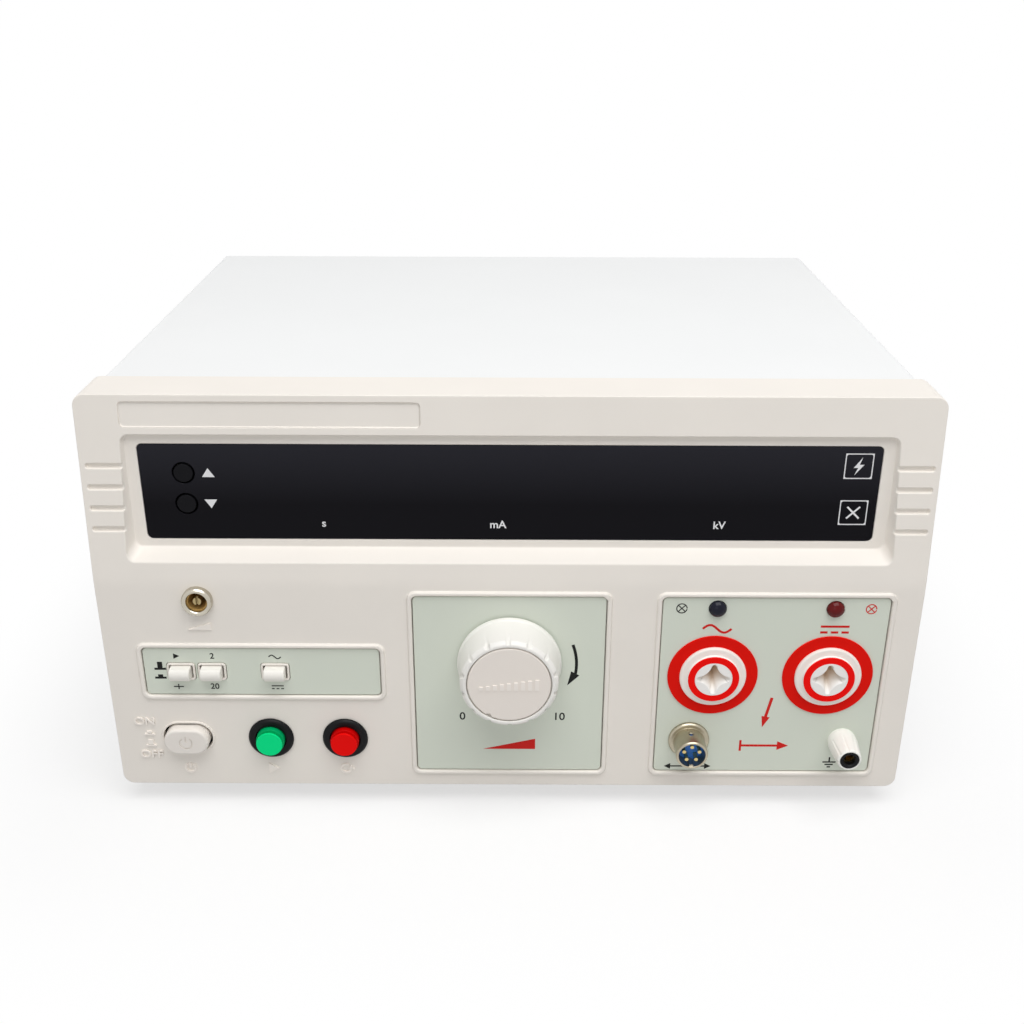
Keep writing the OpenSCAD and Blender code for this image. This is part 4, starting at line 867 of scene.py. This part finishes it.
# The preset trimmer is set with a screwdriver through a plated bush: its brass shaft has a slotted end.
# A brass liner fills the bush round the shaft, and a nut holds the bush behind the bezel.
bush = turned("trimmer_sleeve", trimmer_place, trimmer_height,
              [(4, -14), (5, -14), (5, 0), (6, 0), (6, 2.2), (5.4, 3), (4.5, 3), (4, 2.5), (4, -14)])
soften(bush, 0.2)
settle(dress(bush, nickel), "case", "nickel", "trimmer_bush")
trimmer = turned("trimmer_spindle", trimmer_place, trimmer_height,
                 [(0, -22.7), (1.65, -22.7), (1.65, 1.3), (0, 1.3)], 0, 48)
carve(trimmer, block("slot", (-120.95, -120.25), (-2.5, -0.3), (80, 92)))
soften(trimmer, 0.12, 2)
liner = turned("trimmer_liner", trimmer_place, trimmer_height,
               [(2, -9), (3.95, -9), (3.95, 1.2), (3.6, 1.2), (2, -4.6), (2, -9)], 0, 64)
smooth(liner)
liner_brass = finish("liner_brass", linear(196, 160, 96), 0.45, cloud=0.1, cloud_size=3, grain=0.004,
                     Metallic=0.6)
settle(dress(liner, liner_brass), "case", "contact_brass")
contact_brass = finish("contact_brass", linear(214, 192, 132), 0.28, cloud=0.08, cloud_size=5, grain=0.004,
                       Metallic=1.0)
spindle_brass = finish("spindle_brass", linear(176, 158, 116), 0.42, cloud=0.08, cloud_size=5, grain=0.004,
                       Metallic=0.8)
settle(dress(trimmer, spindle_brass), "trimmer", "contact_brass", "trimmer_shaft")


# The voltage knob is a white moulding, tapered and notched round its front rim, with a flat disc
# pressed into its face. It turns the brush of the variable transformer behind the panel.
def flute(piece, x, z, count, first, circle, y, width, sides, out):
    """Cuts round grooves along a turned piece, on a circle, each leaning out toward its back end."""
    for i in range(count):
        angle = math.radians(360 / count * i + first)
        groove = drum("flute", x + circle * math.cos(angle), z + circle * math.sin(angle), y, width, sides)
        shift(groove, lambda c: c[0].y > y[1] - 0.1, out * math.cos(angle), 0, out * math.sin(angle))
        carve(piece, groove)
    smooth(piece, 30)


knob = turned("knob_body", 0, knob_height,
              [(0, 13.3), (4.05, 13.3), (4.05, 0.8), (20.6, 0.8), (20.6, 2.6), (20.1, 3.2), (19, 15.9),
               (17.7, 17.3), (16.55, 17.3), (16.55, 15.3), (0, 15.3)], 0, 160)
soften(knob, 0.35, 4)
flute(knob, 0, knob_height, 14, 14, 18.0, (-18.5, -11.5), 2.0, 24, 2.5)
knob_plastic = finish("knob_plastic", linear(246, 244, 239), 0.32, cloud=0.008, grain=0.006)
settle(dress(knob, knob_plastic), "voltage_knob", "knob_plastic", "knob")

disc = turned("knob_disc", 0, knob_height,
              [(0, 15.3), (16.1, 15.3), (16.1, 16.8), (15.7, 17.2), (0, 17.2)], 0, 128)
soften(disc, 0.1, 2)
index = math.radians(240)
carve(disc, drum("index", 16.2 * math.cos(index), knob_height + 16.2 * math.sin(index), (-19, -15.6),
                 2.6, 32))
smooth(disc)
knob_disc = finish("knob_disc", linear(245, 237, 229), 0.45, cloud=0.01, grain=0.006)
settle(dress(disc, knob_disc), "voltage_knob", "knob_disc", "knob_cap")
bars = []
for i in range(9):
    left, top = 2.7 * i - 11.6, 58.6 + 0.4 * i
    bars.append(shape([(left, 57.2), (left + 1.5, 57.2), (left + 1.5, top), (left, top)], -17.15, 0.4))
bars = join(bars)
bars.name = "disc_bars"
# Painted highlight: the raised bars are coloured a little lighter than the disc, though they are the same
# plastic.
raised_bar_highlight = finish("raised_bar_highlight", linear(251, 244, 237), 0.45, cloud=0.01, grain=0.006)
settle(dress(bars, raised_bar_highlight), "voltage_knob", "knob_disc")


# Two high-voltage sockets, each a white moulding with a four-pointed mouth, stand on red fibre washers
# and carry a red ring let into the face.
def mouth_outline(reach, blunt):
    """Four hollow sides that meet in four blunt points."""
    outline = []
    for quarter in range(4):
        turn = math.radians(90 * quarter)
        side = [(reach + blunt * math.cos(angle), blunt * math.sin(angle))
                for angle in (math.radians(22.5 * i - 90) for i in range(8))]
        for i in range(24):
            angle = math.radians(90 * i / 24)
            side.append((reach * math.cos(angle) ** 3 + blunt * math.sin(angle),
                         reach * math.sin(angle) ** 3 + blunt * math.cos(angle)))
        outline += [(px * math.cos(turn) - pz * math.sin(turn), px * math.sin(turn) + pz * math.cos(turn))
                    for px, pz in side]
    return outline


mouth_front = -5
mouth_steps = ((-3.65, 1.0, 0), (-3.4, 0.95, 0), (-3.0, 0.9, 0.1), (-2.2, 0.82, 0.45), (-0.8, 0.7, 1.0),
               (1.5, 0.56, 1.6), (5, 0.42, 1.9), (11, 0.3, 1.5))
washers, sockets, face_rings = [], [], []
for x in socket_places:
    washer = turned("washer", x, socket_height,
                    [(8.15, 0), (17.9, 0), (17.9, 0.45), (17.75, 0.6), (8.15, 0.6), (8.15, 0)], 0, 128)
    smooth(washer)
    washers.append(washer)
    socket = turned("socket", x, socket_height,
                    [(0, -24), (8, -24), (8, 0.6), (13.2, 0.6), (13.2, 1.5), (12.6, 2), (10.1, 2),
                     (10.1, 3.1), (7.45, 3.1), (7.45, 3.6), (0, 3.6)], 0, 128)
    soften(socket, 0.22)
    mouth = drawn([spot(x + px, mouth_front, socket_height + pz) for px, pz in mouth_outline(5.7, 1.25)])
    bpy.ops.mesh.edge_face_add()
    depth, girth, height = mouth_front, 1.0, 0
    for y, scale, lift in mouth_steps:
        bpy.ops.mesh.extrude_region_move(
            TRANSFORM_OT_translate={"value": (0, (y - depth) * mm, (lift - height) * mm)})
        bpy.ops.transform.resize(value=(scale / girth, 1, scale / girth),
                                 center_override=spot(x, y, socket_height + lift))
        depth, girth, height = y, scale, lift
    close_up()
    carve(socket, mouth)
    carve(socket, drum("sleeve_bore", x, socket_height, (11, 26), 7.1))
    smooth(socket)
    sockets.append(socket)
    face_ring = turned("face_ring", x, socket_height,
                       [(7.5, 3.1), (10.1, 3.1), (10.1, 3.45), (9.95, 3.6), (7.5, 3.6), (7.5, 3.1)], 0, 128)
    smooth(face_ring)
    face_rings.append(face_ring)
washers, sockets, face_rings = join(washers), join(sockets), join(face_rings)
washers.name, sockets.name, face_rings.name = "fibre_washers", "socket_mouldings", "socket_rings"
washer_red = finish("washer_red", linear(232, 18, 6), 0.5, cloud=0.03, grain=0.012, Specular_IOR_Level=0.08)
settle(dress(washers, washer_red), "case", "red_insulator", "hv_washers")
socket_white = finish("socket_white", linear(252, 250, 247), 0.3, cloud=0.006, grain=0.004)
# Painted shade: from the face backward, and so most inside the mouth, the white moulding turns a darker
# warm beige.
fade_to(socket_white, 1, -3.4, 5, linear(250, 224, 196))
settle(dress(sockets, socket_white), "case", "white_insulator", "hv_sockets")
ring_red = finish("ring_red", linear(255, 12, 6), 0.35, cloud=0.02, grain=0.004, Specular_IOR_Level=0.08)
settle(dress(face_rings, ring_red), "case", "red_insulator", "hv_rings")


# The control socket is a plated barrel with a base ring and a key rib inside. A blue moulding
# holds its five gold pins.
barrel = turned("socket_barrel", control_place, low_row,
                [(5.3, -14), (6.4, -14), (6.4, 0), (8.3, 0), (8.3, 1.1), (7.7, 1.7), (6.4, 1.7),
                 (6.4, 11.2), (6, 11.8), (5.5, 11.8), (5.3, 11.6), (5.3, -14)])
nothing_selected()
bpy.ops.mesh.primitive_cylinder_add(vertices=32, radius=0.8 * mm, depth=3 * mm,
                                    location=spot(control_place, -6, 29.2))
carve(barrel, bpy.context.object)
carve(barrel, block("key_rib", (72.3, 73.9), (-11.4, -6.4), (17.7, 18.7)), "UNION")
soften(barrel, 0.14)
barrel_nickel = finish("barrel_nickel", linear(178, 170, 150), 0.3, cloud=0.1, cloud_size=5, grain=0.006,
                       Metallic=1.0)
settle(dress(barrel, barrel_nickel), "case", "nickel", "control_shell")
insert_blue = finish("insert_blue", linear(40, 124, 232), 0.35, cloud=0.05, grain=0.006)
dress(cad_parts["control_insert"], insert_blue)
dress(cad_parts["contact_pins"], contact_brass)


# The earth terminal is a brass post with a white collar. A fluted white cap screws down on a washer,
# and a black core in its end leaves the post's bore free for a plug.
collar = turned("post_collar", earth_place, low_row,
                [(3.15, 0), (5.5, 0), (5.5, 0.9), (5.2, 1.2), (3.15, 1.2), (3.15, 0)])
smooth(collar)
dress(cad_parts["earth_post"], contact_brass)
dress(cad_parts["earth_washer"], nickel)
post_cap = turned("post_cap", earth_place, low_row,
                  [(3.05, 2.6), (5.1, 2.6), (5.1, 1.5), (5.8, 1.5), (5.8, 4.5), (4.8, 13.8), (4.3, 14.4),
                   (3.85, 14.4), (3.85, 11.8), (3.05, 11.8), (3.05, 2.6)])
soften(post_cap, 0.2)
flute(post_cap, earth_place, low_row, 8, 12, 4.84, (-15, -5), 1.4, 20, 1.51)
post_white = finish("post_white", linear(248, 248, 242), 0.35, cloud=0.01, grain=0.006)
settle(dress(post_cap, post_white), "earth_nut", "white_plastic", "earth_cap")
settle(dress(collar, post_white), "case", "white_plastic", "earth_collar")
core = turned("post_core", earth_place, low_row,
              [(2.3, 11.8), (3.8, 11.8), (3.8, 14.2), (3.6, 14.4), (2.8, 14.4), (2.3, 13.9), (2.3, 11.8)])
smooth(core)
settle(dress(core, black_plastic), "earth_nut", "black_plastic", "earth_cap_core")


# Two lamps with tinted domed lenses sit above the sockets, one blue-black and one dark red.
# They are moulded in coloured plastic and pushed through the plate.
def lens(name, x, colour):
    dome = [(3.85 * math.cos(angle), 3.85 * math.sin(angle) - 1.01)
            for angle in (math.radians(32 + 58 * i / 10) for i in range(10))]
    lamp = turned(name, x, lamp_height, [(0, -12), (3.35, -12), (3.35, 0.9)] + dome + [(0, 2.84)], 0, 64)
    smooth(lamp)
    tint = finish(name + "_tint", colour, 0.06, cloud=0.15, cloud_size=3, grain=0.0,
                  Specular_IOR_Level=0.18)
    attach(dress(lamp, tint), "case")
    return lamp


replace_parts(lens("power_lamp", socket_places[0], linear(20, 22, 38)), "indicator_lamps")
lens("output_lamp", socket_places[1], linear(98, 4, 6))


# The mains inlet is a black moulding snapped into the back panel, with a fuse drawer above its socket.
# The drawer has a lip for a fingernail and slides straight out.
inlet = rounded_block("inlet", (-116, -84), (245, 247.5), (36, 88), 3)
round_edges(inlet, lambda c: all(p.y > 247.4 for p in c), 0.6, 3)
carve(inlet, block("inlet_body", (-114, -86), (221.5, 246), (38.5, 85.5)), "UNION")
carve(inlet, rounded_block("inlet_mouth", (-112.3, -87.7), (231.5, 249), (43, 60), 2))
carve(inlet, block("drawer_well", (-110.3, -89.7), (227.2, 249), (67.7, 80.3)))
soften(inlet, 0.2, 2)
settle(dress(inlet, black_plastic), "case", "black_plastic", "power_inlet")
drawer = block("drawer", (-110, -90), (227.5, 247.5), (68, 80))
carve(drawer, rounded_block("drawer_lip", (-108, -92), (247, 250.5), (72.5, 75.5), 1), "UNION")
soften(drawer, 0.25, 2)
drawer_plastic = finish("drawer_plastic", linear(48, 48, 51), 0.45, cloud=0.06, grain=0.012)
settle(dress(drawer, drawer_plastic), "fuse_holder", "black_plastic", "fuse_drawer")


# A threaded brass stud on the back panel takes an earth wire under its nut. It is turned from bar,
# and the hexagon nut clamps it to the panel.
pitch = 0.8
thread = [(0, -238), (2.5, -238), (2.5, -249.4)]
for i in range(11):
    thread += [(2.5, -249.8 - pitch * i), (2.2, -250.2 - pitch * i)]
stud = turned("earth_stud", -55, 34, thread + [(2.5, -258.6), (2.1, -259), (0, -259)], 0, 48)
smooth(stud)
stud_nut = drum("stud_nut", -55, 34, (245, 249), 11.547, 6)
soften(stud_nut, 0.35)
stud = join([stud, stud_nut])
settle(dress(stud, contact_brass), "case", "contact_brass", "rear_earth_stud")


# Inside: boards, switch bodies, nuts and leads behind the front, the wound ring of the variable
# transformer, and the high-voltage transformer with its capacitor. The solids carry their finishes.
inner_finishes = {
    finish("board_green", linear(38, 96, 62), 0.4, cloud=0.15, cloud_size=6, grain=0.01):
        ("display_board", "main_board", "switch_board"),
    black_plastic: ("display_modules", "key_switches", "board_parts", "power_switch_body"),
    key_plastic: ("mode_switch_bodies", "hv_capacitor"),
    nickel: ("panel_nuts", "board_standoffs"),
    finish("pot_blue", linear(52, 92, 150), 0.35, cloud=0.04): ("trimmer_pot",),
    finish("copper_wire", linear(178, 98, 48), 0.35, cloud=0.25, cloud_size=1.6, grain=0.2, grain_size=1.2,
           Metallic=0.8):
        ("variac_winding",),
    finish("cast_aluminium", linear(178, 182, 184), 0.5, cloud=0.08, cloud_size=4, grain=0.06,
           grain_size=1.5, Metallic=1.0):
        ("variac_frame",),
    finish("core_iron", linear(96, 92, 88), 0.55, cloud=0.2, cloud_size=2, grain=0.08, grain_size=0.8,
           Metallic=0.6):
        ("hv_transformer_core", "aux_transformer"),
    finish("coil_resin", linear(186, 140, 62), 0.4, cloud=0.12, cloud_size=8): ("hv_transformer_coil",),
    zinc_steel: ("hv_transformer_clamps",),
    finish("lead_rubber", linear(184, 52, 40), 0.5, cloud=0.05): ("hv_leads",),
    finish("turned_steel", linear(188, 190, 192), 0.25, cloud=0.06, cloud_size=3,
           Metallic=1.0): ("variac_shaft",),
    contact_brass: ("brush_arm",),
    finish("pressed_carbon", linear(46, 46, 46), 0.6, cloud=0.2, cloud_size=1): ("carbon_brush",),
}
for material, nodes in inner_finishes.items():
    for node in nodes:
        dress(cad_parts[node], material)
